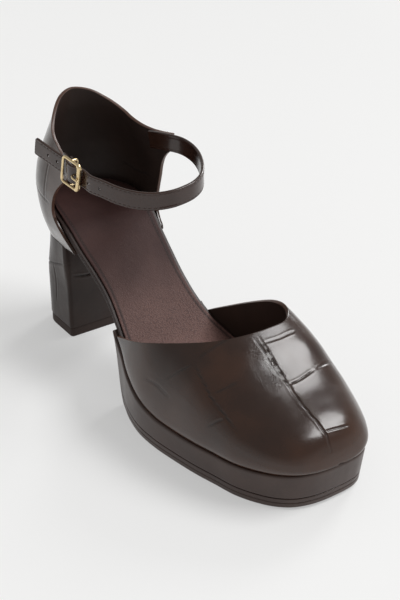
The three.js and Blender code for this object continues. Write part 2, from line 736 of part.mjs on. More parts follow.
function strapPath() {
  const reach = place(strapTip).distanceTo(axes.origin);
  const end = buckleLength / 2;
  const points = STRAP.map(place);
  points.push(onBuckle(-14, 0, -0.1), onBuckle(-end - 1.2, 0, frontDip));
  points.push(onBuckle(-end + 1.4, 0, frontDip + 0.1), onBuckle(-1.6, 0, strapHump));
  points.push(onBuckle(1.6, 0, strapHump), onBuckle(end - 1.4, 0, 0.1), onBuckle(end + 1.2, 0, 0));
  points.push(onBuckle(reach * 0.55, 0, 0.2), onBuckle(reach * 0.8, 0, 0.1), onBuckle(reach, 0, 0));
  return new THREE.CatmullRomCurve3(points, false, 'centripetal');
}

// Flat band along a path, standing on edge
function band(path, width, thickness, count, upright = new THREE.Vector3(0, 0, 1)) {
  const rings = [];
  for (let i = 0; i <= count; i++) {
    const t = i / count;
    const centre = path.getPointAt(t);
    const along = path.getTangentAt(t);
    const out = upright.clone().cross(along).normalize();
    const up = along.clone().cross(out).normalize();
    const edge = Math.min(0.45, thickness / 3);
    const section = [
      [-1, -1, edge, 0], [-1, 1, edge, 0], [-1, 1, 0, edge], [1, 1, 0, edge],
      [1, 1, edge, 0], [1, -1, edge, 0], [1, -1, 0, edge], [-1, -1, 0, edge],
    ];
    rings.push(section.map(([a, b, cutUp, cutOut]) => centre.clone()
      .addScaledVector(out, a * (thickness / 2 - cutOut))
      .addScaledVector(up, b * (width / 2 - cutUp))));
  }
  return solid(endCapped(rings));
}

// Body through rings whose ends are closed by fans, for rings in any plane
function endCapped(rings) {
  const count = rings[0].length;
  const last = (rings.length - 1) * count;
  const index = sideTriangles(rings);
  for (let i = 1; i < count - 1; i++) {
    index.push(0, i + 1, i);
    index.push(last, last + i, last + i + 1);
  }
  return geometryOf(rings, index);
}

// Round rod between two points
function rod(from, to, radius) {
  const length = from.distanceTo(to);
  const geometry = new THREE.CylinderGeometry(radius, radius, length, 8);
  const direction = to.clone().sub(from).normalize();
  const turn = new THREE.Quaternion().setFromUnitVectors(new THREE.Vector3(0, 1, 0), direction);
  geometry.applyQuaternion(turn);
  const middle = from.clone().add(to).multiplyScalar(0.5);
  geometry.translate(middle.x, middle.y, middle.z);
  return solid(geometry);
}

const prongHole = -2.4;          // where the prong comes through the strap, from the centre bar
const tailHoles = [1.45, 2.3];   // from the centre bar to the strap's tip, in holePitch
const frontHoles = [1.5, 2.4];   // from the buckle towards the front, in holePitch

function ankleStrap() {
  const path = strapPath();
  let body = band(path, strapWidth, strapThickness, 62);
  const drill = (from, to) => {
    body = body.subtract(rod(from, to, holeRadius));
  };
  for (const shift of [-0.9, 0, 0.9]) {
    drill(onBuckle(prongHole + shift, 0, -4), onBuckle(prongHole + shift, 0, 6));
  }
  for (const step of tailHoles) drill(onBuckle(step * holePitch, 0, -1.4), onBuckle(step * holePitch, 0, 3));
  const total = path.getLength();
  const front = total - place(strapTip).distanceTo(axes.origin) - 0.6;
  for (const step of frontHoles) {
    const t = (front - step * holePitch) / total;
    const out = new THREE.Vector3(0, 0, 1).cross(path.getTangentAt(t)).setLength(strapThickness);
    const centre = path.getPointAt(t);
    drill(centre.clone().sub(out), centre.clone().add(out));
  }
  return body;
}

function buckleFrame() {
  const rear = buckleLength / 2 - barRadius;
  const front = -rear;
  const up = buckleHeight / 2 - barRadius;
  const bar = (u, n, radius) => rod(onBuckle(u, -up, n), onBuckle(u, up, n), radius);
  const rail = (w) => rod(onBuckle(rear, w, rearBarOut), onBuckle(front, w, rearBarOut), barRadius);
  const post = (w) => rod(onBuckle(0, w, rearBarOut), onBuckle(0, w, centreBarOut), barRadius);
  let body = bar(rear, rearBarOut, barRadius).add(bar(front, rearBarOut, frontBarRadius));
  body = body.add(bar(0, centreBarOut, barRadius));
  for (const w of [up, -up]) body = body.add(rail(w)).add(post(w));
  for (const u of [rear, front, 0]) {
    for (const w of [up, -up]) {
      const ball = new THREE.SphereGeometry(u === front ? frontBarRadius : barRadius * 1.02, 8, 6);
      const at = onBuckle(u, w, u === 0 ? centreBarOut : rearBarOut);
      ball.translate(at.x, at.y, at.z);
      body = body.add(solid(ball));
    }
  }
  return body;
}

function buckleProng() {
  const rest = rearBarOut + frontBarRadius + 0.25 + prongRadius;
  const points = [
    onBuckle(-barRadius - 0.25 - prongRadius, 0, centreBarOut),
    onBuckle(-2.0, 0, strapHump - half),
    onBuckle(-2.7, 0, strapHump + half + 0.6),
    onBuckle(-4.4, 0, rest),
    onBuckle(-buckleLength / 2 - 1.4, 0, rest + 0.1),
  ];
  const extrudePath = new THREE.CatmullRomCurve3(points, false, 'centripetal');
  const shape = new THREE.Shape().absarc(0, 0, prongRadius, 0, Math.PI * 2);
  const options = { steps: 12, curveSegments: 4, extrudePath, bevelEnabled: false };
  const pin = solid(new THREE.ExtrudeGeometry(shape, options));
  const ring = new THREE.TorusGeometry(barRadius + 0.2 + prongRadius, prongRadius, 6, 12);
  ring.applyMatrix4(new THREE.Matrix4().makeBasis(axes.u, axes.n, axes.w));
  const at = onBuckle(0, 0, centreBarOut);
  ring.translate(at.x, at.y, at.z);
  return pin.add(solid(ring));
}

// Leather tab that holds the buckle's centre bar and takes the lateral wing's end between its layers
function buckleTab() {
  const bar = onBuckle(0, 0, centreBarOut);
  const turn = barRadius + barClear + tabThickness / 2;
  const wallAt = (x, offset) => (
    new THREE.Vector3(x, -cupWidth('lateral', x, bar.z) + offset, bar.z + (bar.x - x) * 0.05));
  const outside = -gap - tabThickness / 2 - 0.55;
  const inside = leather + gap + tabThickness / 2 + 0.35;
  const end = wingEnd.lateral;
  const points = [wallAt(end - 11, inside), wallAt(end - 5, inside), wallAt(end + 0.4, inside + 0.45)];
  points.push(onBuckle(2.0, 0, centreBarOut - turn - 0.3), onBuckle(0, 0, centreBarOut - turn));
  points.push(onBuckle(-turn * 0.75, 0, centreBarOut - turn * 0.7), onBuckle(-turn, 0, centreBarOut));
  points.push(onBuckle(-turn * 0.75, 0, centreBarOut + turn * 0.7), onBuckle(0, 0, centreBarOut + turn));
  points.push(onBuckle(2.2, 0, centreBarOut + turn * 0.8));
  points.push(wallAt(end + 0.2, outside - 0.25), wallAt(end - 5, outside), wallAt(end - 11, outside));
  const path = new THREE.CatmullRomCurve3(points, false, 'centripetal');
  const notch = rod(onBuckle(-4.5, 0, centreBarOut), onBuckle(3.4, 0, centreBarOut), 2.8);
  return band(path, tabWidth, tabThickness, 26, axes.w).subtract(notch);
}

// Assembly

const shoe = new THREE.Group();
shoe.add(
  meshOf('outsole', forefoot('outsole'), COLOUR.tread, 0.7, 0),
  meshOf('platform', forefoot('platform'), COLOUR.wrap, 0.4, 0),
  meshOf('waist_sole', waistSole(), COLOUR.tread, 0.6, 0),
  meshOf('heel_block', heelBlock(), COLOUR.leather, 0.35, 0),
  meshOf('heel_tip', heelTip(), COLOUR.tread, 0.7, 0),
  meshOf('insole_board', insoleBoard(), COLOUR.wrap, 0.45, 0),
  meshOf('sock_lining', sockLining(), COLOUR.sock, 0.6, 0),
  meshOf('vamp', vamp(), COLOUR.leather, 0.3, 0),
  meshOf('heel_cup', heelCup(), COLOUR.leather, 0.3, 0),
  meshOf('ankle_strap', ankleStrap(), COLOUR.leather, 0.35, 0),
  meshOf('buckle_tab', buckleTab(), COLOUR.leather, 0.4, 0),
  meshOf('buckle_frame', buckleFrame(), COLOUR.brass, 0.25, 1),
  meshOf('buckle_prong', buckleProng(), COLOUR.brass, 0.25, 1),
);

// The row's origin is the middle of the shoe's footprint, on the floor
const box = new THREE.Box3().setFromObject(shoe);
shoe.position.set(-(box.min.x + box.max.x) / 2, -(box.min.y + box.max.y) / 2, -box.min.z);
shoe.updateMatrixWorld(true);

export default shoe;
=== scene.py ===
# %% [markdown]
# # A right platform shoe in embossed leather
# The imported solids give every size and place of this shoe. Here each leather piece is made again as
# a finer skin over its solid, with the creases, seams, edges and finish that the real shoe shows.

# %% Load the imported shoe
import math
import bpy
import numpy as np
from mathutils import Matrix, Vector


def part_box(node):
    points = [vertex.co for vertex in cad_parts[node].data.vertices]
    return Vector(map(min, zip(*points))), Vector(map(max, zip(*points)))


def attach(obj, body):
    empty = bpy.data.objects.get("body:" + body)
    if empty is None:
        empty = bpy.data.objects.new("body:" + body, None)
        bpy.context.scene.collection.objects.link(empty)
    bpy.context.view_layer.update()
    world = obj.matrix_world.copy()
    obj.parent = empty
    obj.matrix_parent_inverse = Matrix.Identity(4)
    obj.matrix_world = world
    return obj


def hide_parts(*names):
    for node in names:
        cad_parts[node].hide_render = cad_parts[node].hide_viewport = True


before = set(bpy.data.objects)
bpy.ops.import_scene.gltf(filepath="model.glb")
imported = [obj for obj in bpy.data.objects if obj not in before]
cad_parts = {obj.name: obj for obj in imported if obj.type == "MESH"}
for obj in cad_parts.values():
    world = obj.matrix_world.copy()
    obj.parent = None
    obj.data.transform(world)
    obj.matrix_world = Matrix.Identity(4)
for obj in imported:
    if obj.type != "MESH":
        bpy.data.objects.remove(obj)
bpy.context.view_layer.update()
scene = bpy.context.scene
print("nodes:", sorted(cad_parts))

# %% [markdown]
# ## The camera
# The shoe is seen from the front of its outer side, a little under 30 degrees above the floor, with
# a lens of moderate length. The camera stands where the photograph was taken from.

# %% Camera
camera_place = Vector((0.4757, -0.3267, 0.3916))
camera_aim = Vector((-0.0110, 0.0200, 0.0476))
camera_lens = 72.9
camera_roll = math.radians(1.0)
camera_data = bpy.data.cameras.new("photo_camera")
camera_data.lens = camera_lens
camera_data.clip_start = 0.01
camera = bpy.data.objects.new("photo_camera", camera_data)
scene.collection.objects.link(camera)
looking = (camera_aim - camera_place).to_track_quat("-Z", "Y").to_matrix().to_4x4()
camera.matrix_world = Matrix.Translation(camera_place) @ looking @ Matrix.Rotation(camera_roll, 4, "Z")
scene.camera = camera
print("camera stands", round((camera_place - camera_aim).length, 3), "m away")

# %% [markdown]
# ## The light
# Polished leather shows its room. Two soft boxes far behind the shoe make the white window on the
# instep and the streak on the toe. The walls are pale and the ceiling is dark, so that the crown of
# the toe stays a deep brown while the outer side picks up the pale wall.

# %% Lights
lamp_aim, lamp_distance = Vector((0.05, 0.0, 0.05)), 4.5


def soft_box(name, direction, width, height, watts):
    data = bpy.data.lights.new(name, "AREA")
    data.shape = "RECTANGLE"
    data.size = width
    data.size_y = height
    data.energy = watts
    lamp = bpy.data.objects.new(name, data)
    scene.collection.objects.link(lamp)
    lamp.location = lamp_aim + Vector(direction).normalized() * lamp_distance
    lamp.rotation_euler = (lamp_aim - lamp.location).to_track_quat("-Z", "Y").to_euler()


soft_box("window_box", (-0.36, 0.80, 0.48), 1.05, 1.45, 54.0)
soft_box("top_box", (0.31, 0.53, 0.79), 2.60, 1.60, 138.0)
room = bpy.data.worlds.new("pale_room")
room.use_nodes = True
nodes, links = room.node_tree.nodes, room.node_tree.links
direction = nodes.new("ShaderNodeTexCoord")
split = nodes.new("ShaderNodeSeparateXYZ")
wall = nodes.new("ShaderNodeMapRange")
wall.interpolation_type = "SMOOTHSTEP"
# from this height to that one, the wall goes from the third number's strength to the fourth's
for place, value in ((1, 0.05), (2, 0.50), (3, 0.72), (4, 0.36)):
    wall.inputs[place].default_value = value
links.new(direction.outputs["Generated"], split.inputs[0])
links.new(split.outputs[2], wall.inputs[0])
links.new(wall.outputs[0], nodes["Background"].inputs["Strength"])
nodes["Background"].inputs["Color"].default_value = (1.0, 0.985, 0.965, 1.0)
scene.world = room
scene.view_settings.view_transform = "Standard"

# %% [markdown]
# ## Shader maths as expressions
# A material is a small graph of numbers that change over the surface. The class below wraps one
# socket, so that a mask can be written as `1 - grain * 0.4` and the Math nodes are made for it.

# %% Signals and paints
class Signal:
    """One socket of a material, which can be added to, scaled and so on."""

    def __init__(self, paint, socket):
        self.paint = paint
        self.socket = socket

    def _math(self, operation, first, second):
        made = self.paint.node("ShaderNodeMath", {"operation": operation}, {0: first, 1: second})
        return Signal(self.paint, made.outputs[0])

    def __add__(self, other):
        return self._math("ADD", self, other)

    def __sub__(self, other):
        return self._math("SUBTRACT", self, other)

    def __rsub__(self, other):
        return self._math("SUBTRACT", other, self)

    def __mul__(self, other):
        return self._math("MULTIPLY", self, other)

    __radd__ = __add__
    __rmul__ = __mul__

    def step(self, low, high, smooth=True):
        """0 below low and 1 above high, and soft between them."""
        settings = {"interpolation_type": "SMOOTHSTEP" if smooth else "LINEAR"}
        made = self.paint.node("ShaderNodeMapRange", settings, {0: self, 1: low, 2: high})
        return Signal(self.paint, made.outputs[0])


class Paint:
    """A material under work."""

    def __init__(self, name):
        self.material = bpy.data.materials.new(name)
        self.material.use_nodes = True
        self.tree = self.material.node_tree
        self.tree.nodes.clear()
        self.output = self.tree.nodes.new("ShaderNodeOutputMaterial")
        coordinates = self.tree.nodes.new("ShaderNodeTexCoord")
        self.place = Signal(self, coordinates.outputs["Object"])

    def node(self, kind, settings, values):
        made = self.tree.nodes.new(kind)
        for key, value in settings.items():
            setattr(made, key, value)
        for key, value in values.items():
            if isinstance(value, Signal):
                self.tree.links.new(value.socket, made.inputs[key])
            else:
                made.inputs[key].default_value = value
        return made

    def noise(self, scale, detail=3.0, rough=0.55, place=None):
        values = {"Vector": place or self.place, "Scale": scale, "Detail": detail, "Roughness": rough}
        return Signal(self, self.node("ShaderNodeTexNoise", {}, values).outputs[0])

    def cells(self, scale, feature="F1", place=None):
        values = {"Vector": place or self.place, "Scale": scale}
        made = self.node("ShaderNodeTexVoronoi", {"feature": feature}, values)
        return Signal(self, made.outputs["Distance"])

    def stretched(self, scale):
        """The object's own place, longer or shorter along each axis."""
        made = self.node("ShaderNodeMapping", {}, {"Vector": self.place, "Scale": scale})
        return Signal(self, made.outputs[0])

    def axis(self, index):
        made = self.node("ShaderNodeSeparateXYZ", {}, {0: self.place})
        return Signal(self, made.outputs[index])

    def mark(self, name):
        made = self.node("ShaderNodeAttribute", {"attribute_name": name}, {})
        return Signal(self, made.outputs["Fac"])

    def blend(self, factor, first, second):
        made = self.node("ShaderNodeMix", {"data_type": "RGBA"}, {0: factor, 6: first, 7: second})
        return Signal(self, made.outputs[2])

    def relief(self, height, distance, strength=1.0, under=None):
        values = {"Height": height, "Distance": distance, "Strength": strength}
        if under is not None:
            values["Normal"] = under
        return Signal(self, self.node("ShaderNodeBump", {}, values).outputs[0])

    def finish(self, **values):
        named = {key.replace("_", " ").title().replace("Ior", "IOR"): value
                 for key, value in values.items()}
        shader = self.node("ShaderNodeBsdfPrincipled", {}, named)
        self.tree.links.new(shader.outputs[0], self.output.inputs["Surface"])
        return self.material


def tone(red, green, blue):
    """A colour given as it is seen on screen, 0 to 255, made ready for the shader."""
    return tuple(((c / 255 + 0.055) / 1.055) ** 2.4 if c > 10 else c / 255 / 12.92
                 for c in (red, green, blue)) + (1.0,)


print("paint class ready")

# %% [markdown]
# ## The finishes
# The leather is a dark chocolate hide, embossed and glazed: its gloss is sharp, but the glaze is
# laid on a skin with pores and slow waves, so reflections break up a little. It is lighter and
# redder where edges were folded or skived, and its pressed lines are darkened with painted shade.

# %% Glazed, embossed leather
def embossed_leather(name, dark, light, gloss, wave, coat=0.5):
    paint = Paint(name)
    patches = paint.noise(26.0, 2.0).step(0.35, 0.68)
    mottle = paint.noise(190.0, 4.0, 0.6)
    pressed_shade = paint.mark("pressed_shade")
    colour = paint.blend(patches * 0.7 + mottle * 0.3, dark, light)
    # painted shade: the colour is darkened in the pressed lines
    colour = paint.blend(pressed_shade * 0.8, colour, tone(20, 12, 9))
    pores = paint.cells(1500.0)
    waves = paint.noise(wave, 2.0, 0.45)
    wrinkle = paint.cells(620.0, "DISTANCE_TO_EDGE", paint.stretched((0.6, 1.5, 1.0)))
    normal = paint.relief(waves, 0.0017, 0.35)
    normal = paint.relief(wrinkle.step(0.0, 0.12) * paint.mark("cracked"), 0.00022, 1.0, normal)
    normal = paint.relief(pores * 0.5 + mottle * 0.5, 0.00009, 0.55, normal)
    rough = mottle * 0.10 + (gloss - 0.05) + pressed_shade * 0.25 + paint.mark("cracked") * 0.06
    return paint.finish(base_color=colour, roughness=rough, normal=normal, coat_weight=coat,
                        coat_roughness=0.13, coat_ior=1.45, specular_ior_level=0.2 + coat * 0.3)


vamp_leather = embossed_leather("glazed_embossed_leather", tone(36, 20, 13), tone(60, 35, 21), 0.23, 42.0)
# painted shade, in part: the heel's hide is toned darker than the vamp's, so that the block reads as shaded
shaded_heel_leather = embossed_leather("heel_cover_leather_painted_shade", tone(31, 19, 15), tone(44, 28, 21), 0.34, 60.0, 0.14)
print("materials:", vamp_leather.name, shaded_heel_leather.name)

# %% [markdown]
# The platform, the board, the strap and the linings are plainer hides. They share one recipe with a
# fine grain and little glaze, and differ in their tone, gloss and pores. The folded edge is the
# palest, because the thin leather is stretched over it.

# %% Wrap leather, strap leather, lining and edges
def smooth_leather(name, dark, light, rough, coat, grain=1300.0, depth=0.00005):
    paint = Paint(name)
    cloud = paint.noise(55.0, 3.0).step(0.3, 0.7)
    mottle = paint.noise(420.0, 5.0, 0.6)
    pressed_shade = paint.mark("pressed_shade")
    colour = paint.blend(cloud * 0.6 + mottle * 0.4, dark, light)
    # painted shade: the colour is darkened in the pressed lines
    colour = paint.blend(pressed_shade * 0.8, colour, tone(18, 12, 10))
    normal = paint.relief(paint.noise(90.0, 2.0), 0.0006, 0.3)
    normal = paint.relief(paint.cells(grain) * 0.6 + mottle * 0.4, depth, 0.7, normal)
    return paint.finish(base_color=colour, roughness=mottle * 0.12 + (rough - 0.06) + pressed_shade * 0.2,
                        normal=normal, coat_weight=coat, coat_roughness=0.2, specular_ior_level=0.45)


# dark, light, roughness, coat, then the grain's scale and depth where they differ
wrap_leather, board_leather, strap_leather, lining_leather, cup_lining_leather, edge_leather = (
    smooth_leather(name, tone(*dark), tone(*light), *finish) for name, dark, light, finish in (
        ("platform_wrap_leather", (50, 34, 28), (63, 45, 38), (0.38, 0.12)),
        ("board_cover_leather", (34, 21, 17), (44, 28, 23), (0.46, 0.05)),
        ("strap_leather", (42, 24, 17), (54, 33, 24), (0.25, 0.35, 900.0, 0.000015)),
        ("lining_leather", (44, 29, 22), (56, 38, 29), (0.55, 0.0, 900.0)),
        ("cup_lining_leather", (38, 26, 21), (47, 33, 27), (0.6, 0.0, 900.0)),
        ("folded_edge_leather", (68, 45, 35), (84, 57, 45), (0.42, 0.1))))
print("six smooth leathers made")

# %% [markdown]
# The sock is a softer burgundy hide. It is smooth at the heel, where its colour is darkened with
# painted shade, and pebbled towards the forefoot, where pale painted glints sit on its grain. Rubber,
# brass and thread are plain surfaces with a little wear, so each needs only one noise or two.

# %% Sock leather, rubber, thread, metal
def pebbled_sock():
    paint = Paint("sock_leather")
    along = paint.axis(0)
    forefoot = along.step(-0.052, -0.012)
    pebbles = paint.cells(1150.0)
    fine_grain_and_glints = paint.noise(2300.0, 3.0, 0.7)
    cloud = paint.noise(34.0, 3.0).step(0.3, 0.7)
    # painted shade: the heel part is a much darker tone than the forefoot, for the shade deep in the heel
    # cup
    heel_part_painted_shade = paint.blend(cloud, tone(54, 33, 31), tone(64, 41, 38))
    fore_part = paint.blend(cloud, tone(108, 79, 73), tone(124, 93, 86))
    colour = paint.blend(along.step(-0.055, 0.02), heel_part_painted_shade, fore_part)
    # painted glints: pale specks on the forefoot's fine grain
    colour = paint.blend(forefoot * fine_grain_and_glints.step(0.52, 0.75) * 0.55, colour, tone(150, 122, 114))
    colour = paint.blend(forefoot * pebbles.step(0.42, 0.8) * 0.5, colour, tone(62, 40, 38))
    # painted shade: the colour is darkened along the sewn line
    colour = paint.blend(paint.mark("pressed_shade") * 0.95, colour, tone(26, 15, 14))
    normal = paint.relief(paint.noise(120.0, 3.0), 0.0008, 0.35)
    normal = paint.relief(pebbles * (forefoot * 0.8 + 0.2) + fine_grain_and_glints * 0.3, 0.00022, 0.8, normal)
    return paint.finish(base_color=colour, roughness=0.58 - forefoot * 0.04 + fine_grain_and_glints * 0.1,
                        normal=normal, specular_ior_level=0.25)


def rubber(name, dark, light):
    paint = Paint(name)
    grit = paint.noise(900.0, 4.0, 0.65)
    scuff = paint.noise(70.0, 4.0, 0.6).step(0.45, 0.75)
    colour = paint.blend(scuff * 0.6 + grit * 0.3, dark, light)
    return paint.finish(base_color=colour, roughness=0.55 + grit * 0.2,
                        normal=paint.relief(grit, 0.0001, 0.6), specular_ior_level=0.35)


def polished_brass():
    paint = Paint("polished_brass")
    brushed = paint.noise(500.0, 3.0, 0.6, paint.stretched((1.0, 1.0, 0.15)))
    tarnish = paint.noise(160.0, 3.0).step(0.45, 0.8)
    colour = paint.blend(tarnish * 0.5, tone(226, 204, 160), tone(186, 158, 112))
    return paint.finish(base_color=colour, metallic=1.0, roughness=0.2 + tarnish * 0.14 + brushed * 0.06,
                        normal=paint.relief(brushed, 0.00002, 0.5))


def thread():
    paint = Paint("sewing_thread")
    twist = paint.noise(2600.0, 2.0)
    colour = paint.blend(twist, tone(44, 30, 27), tone(74, 54, 48))
    return paint.finish(base_color=colour, roughness=0.62 + twist * 0.1,
                        normal=paint.relief(twist, 0.00006, 0.8))


sock_leather = pebbled_sock()
tread_rubber = rubber("tread_rubber", tone(40, 31, 28), tone(56, 45, 41))
tip_rubber = rubber("heel_tip_rubber", tone(44, 31, 26), tone(56, 41, 35))
brass = polished_brass()
sewing_thread = thread()
print(len(bpy.data.materials), "materials so far")

# %% [markdown]
# ## The floor
# The shoe stands on a pale sweep. A plain matt plane would be grey in the shoe's shadow and darker
# towards the camera, so it gives off a little light of its own and is paler at its near side.

# %% Floor
def pale_floor():
    paint = Paint("pale_floor")
    cloud = paint.noise(2.0, 2.0)
    away = paint.axis(1).step(-0.35, 0.55, smooth=False)
    near_tone, far_tone = (0.52, 0.52, 0.517, 1), (0.42, 0.42, 0.417, 1)
    return paint.finish(base_color=paint.blend(away, near_tone, far_tone),
                        roughness=0.62 + cloud * 0.05, specular_ior_level=0.2,
                        emission_color=(0.995, 1.0, 1.0, 1.0), emission_strength=0.40)


floor_size = 9.0
bpy.ops.mesh.primitive_plane_add(size=floor_size, location=(0, 0, 0))
floor = bpy.context.object
floor.name = "studio_floor"
floor.data.materials.append(pale_floor())
print("floor", floor_size, "m wide")

# %% [markdown]
# ## The last and its named sizes
# A shoe is lasted: its leather is pulled over a wooden foot. The same few sizes and short tables that
# made the solids are named again here, in metres, so that every new skin lies on its solid.

# %% Named sizes
MM = 0.001
foot_length = 247.5 * MM
ball_width = 88 * MM
heel_height = 87 * MM
collar_height = 145 * MM
instep_height = 70.5 * MM
leather = 1.9 * MM
gap = 0.3 * MM
sock_thickness = 1.2 * MM
board_thickness = 2.6 * MM
outsole_thickness = 6 * MM
platform_inset = 2 * MM
toe_spring = 1.6 * MM
tread_rear = 118 * MM
platform_rear = 104 * MM
waist_thickness = 2.2 * MM
heel_base = 38.5 * MM
heel_base_width = 50 * MM
heel_tip_thickness = 6 * MM
heel_rim = 66 * MM
heel_rim_fall = 0.05
heel_plug = 5.2 * MM
heel_middle = 19 * MM
tread_edge = 0.4 * MM
insole_inset = leather + gap + 0.2 * MM
insole_toe = foot_length - 2.6 * MM
wing_tail_lift = 4.4 * MM
heel_corner = 1.9 * MM
breast_top = 1.12  # how far forward the breast reaches under the waist, as a share of heel_base
seam_inset = 1.35 * MM
shift = np.array([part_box("platform")[1].x - foot_length,
                  (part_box("heel_tip")[0].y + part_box("heel_tip")[1].y) / 2, 0.0])
print("the shoe's own frame lies at", shift.round(4))

# %% Tables of the last: along, lateral, medial
LAST_EDGE = [
    (0.000, 0.000, 0.000), (0.004, 0.080, 0.080), (0.012, 0.150, 0.150), (0.032, 0.240, 0.240),
    (0.060, 0.305, 0.300), (0.100, 0.350, 0.345), (0.155, 0.368, 0.360), (0.200, 0.374, 0.340),
    (0.250, 0.374, 0.317), (0.300, 0.366, 0.298), (0.355, 0.367, 0.282), (0.410, 0.390, 0.284),
    (0.470, 0.430, 0.307), (0.525, 0.484, 0.343), (0.585, 0.518, 0.390), (0.645, 0.516, 0.438),
    (0.705, 0.492, 0.472), (0.770, 0.457, 0.484), (0.820, 0.420, 0.476), (0.873, 0.381, 0.460),
    (0.917, 0.324, 0.428), (0.954, 0.254, 0.385), (0.980, 0.170, 0.332), (0.994, 0.072, 0.262),
    (0.999, -0.015, 0.185), (1.000, -0.075, 0.120),
]
# along, height
SEAT = [
    (0.00, 1.000), (0.10, 0.983), (0.18, 0.930), (0.24, 0.845), (0.32, 0.715), (0.36, 0.645),
    (0.44, 0.500), (0.50, 0.415), (0.57, 0.342), (0.62, 0.303), (0.67, 0.283), (0.74, 0.276),
    (0.83, 0.277), (0.91, 0.287), (1.00, 0.310),
]


def soft(t):
    """From 0 to 1 with no corner at either end."""
    return t * t * (3 - 2 * t)


def curve(table, column, key_scale, scale):
    """A smooth line through one column of a table, monotone between its rows."""
    x = np.array([row[0] for row in table]) * key_scale
    y = np.array([row[column] for row in table]) * scale
    slope = np.diff(y) / np.diff(x)
    before, after = slope[:-1], slope[1:]
    total = np.where(before + after == 0, 1, before + after)
    inner = np.where(before * after <= 0, 0, 2 * before * after / total)
    tangent = np.concatenate([slope[:1], inner, slope[-1:]])

    def at(value):
        t = np.clip(value, x[0], x[-1])
        i = np.clip(np.searchsorted(x, t, side="right") - 1, 0, len(x) - 2)
        h = x[i + 1] - x[i]
        s = (t - x[i]) / h
        return ((2 * s**3 - 3 * s**2 + 1) * y[i] + (s**3 - 2 * s**2 + s) * h * tangent[i]
                + (3 * s**2 - 2 * s**3) * y[i + 1] + (s**3 - s**2) * h * tangent[i + 1])

    return at


def spline(points, count):
    """A smooth line through points in space, evenly eased between them."""
    p = np.asarray(points, float)
    p = np.vstack([2 * p[0] - p[1], p, 2 * p[-1] - p[-2]])
    made = []
    for t in np.linspace(0, len(p) - 3, count + 1):
        i = min(int(t), len(p) - 4)
        w = t - i
        a, b, c, d = p[i:i + 4]
        d0, d1, d2 = (max(np.linalg.norm(q - r) ** 0.5, 1e-5) for q, r in ((b, a), (c, b), (d, c)))
        m1 = ((b - a) / d0 - (c - a) / (d0 + d1) + (c - b) / d1) * d1
        m2 = ((c - b) / d1 - (d - b) / (d1 + d2) + (d - c) / d2) * d1
        made.append(b + m1 * w + (3 * (c - b) - 2 * m1 - m2) * w**2 + (2 * (b - c) + m1 + m2) * w**3)
    return np.array(made)


def even(path, count):
    """The same line with its points evenly spaced."""
    length = np.concatenate([[0], np.cumsum(np.linalg.norm(np.diff(path, axis=0), axis=1))])
    at = np.linspace(0, length[-1], count + 1)
    return np.stack([np.interp(at, length, path[:, k]) for k in range(path.shape[1])], axis=1)


def plan_side(column):
    line = spline([(row[0] * foot_length, row[column] * ball_width) for row in LAST_EDGE], 900)
    return lambda x: np.interp(x, line[:, 0], line[:, 1])


edge_lateral, edge_medial = plan_side(1), plan_side(2)
seat = curve(SEAT, 1, foot_length, heel_height)


def board_top(x):
    return seat(x) - sock_thickness - gap


def lower_top(x):
    return board_top(x) - board_thickness - gap


def rim_height(x):
    return heel_rim - heel_rim_fall * x


print("sock height at the heel and ball, mm:", (seat(np.array([0, 0.18])) / MM).round(1))

# %% [markdown]
# ## How a sheet of leather is laid
# Each skin starts as Blender's flat grid, a sheet of leather on the bench. Its points are then moved
# to their places over the last. A sheet whose sides meet becomes a closed roll: its seam is merged
# and its ends are filled.

# %% Laying sheets and rolls
def alone(*pieces):
    """Selects these pieces and nothing else, and makes the first one active."""
    bpy.ops.object.select_all(action="DESELECT")
    for piece in pieces:
        piece.select_set(True)
    bpy.context.view_layer.objects.active = pieces[0]


def edited(piece, *steps):
    """Runs mesh operators, each on the whole piece, in edit mode."""
    alone(piece)
    bpy.ops.object.mode_set(mode="EDIT")
    for operator, settings in steps:
        bpy.ops.mesh.select_all(action="SELECT")
        operator(**settings)
    bpy.ops.object.mode_set(mode="OBJECT")


def triples(items, name):
    """One property of all points or faces, as rows of three numbers."""
    flat = np.empty(len(items) * 3)
    items.foreach_get(name, flat)
    return flat.reshape(-1, 3)


def points_of(piece):
    return triples(piece.data.vertices, "co")


def normals_of(piece):
    return triples(piece.data.vertex_normals, "vector")


def set_points(piece, places):
    piece.data.vertices.foreach_set("co", places.ravel())
    piece.data.update()


def laid_sheet(name, places):
    """A grid whose points lie at places, an array of rows by columns by 3 in the shoe's own frame."""
    rows, columns = places.shape[:2]
    bpy.ops.object.select_all(action="DESELECT")
    bpy.ops.mesh.primitive_grid_add(x_subdivisions=columns - 1, y_subdivisions=rows - 1, size=2)
    piece = bpy.context.object
    piece.name = name
    piece.data.name = name
    share = (points_of(piece) + 1) / 2
    column, row = (np.rint(share[:, k] * (n - 1)).astype(int) for k, n in ((0, columns), (1, rows)))
    set_points(piece, places[row, column] + shift)
    return piece


def laid_roll(name, rings, hoop=False):
    """A closed body through rings of the same number of points. A hoop's last ring meets its first."""
    rings = np.concatenate([rings, rings[:, :1]], axis=1)
    if hoop:
        rings = np.concatenate([rings, rings[:1]], axis=0)
    piece = laid_sheet(name, rings)
    ends = [] if hoop else [(bpy.ops.mesh.fill_holes, {"sides": 0})]
    edited(piece, (bpy.ops.mesh.remove_doubles, {"threshold": 1e-6}), *ends,
           (bpy.ops.mesh.normals_make_consistent, {"inside": False}))
    return piece


def mark(piece, name, values):
    """A number on each point, which the paints read."""
    layer = piece.data.attributes.new(name, "FLOAT", "POINT")
    layer.data.foreach_set("value", np.asarray(values, np.float32))


def apply(piece, kind, **settings):
    alone(piece)
    modifier = piece.modifiers.new(kind.lower(), kind)
    for key, value in settings.items():
        setattr(modifier, key, value)
    bpy.ops.object.modifier_apply(modifier=modifier.name)


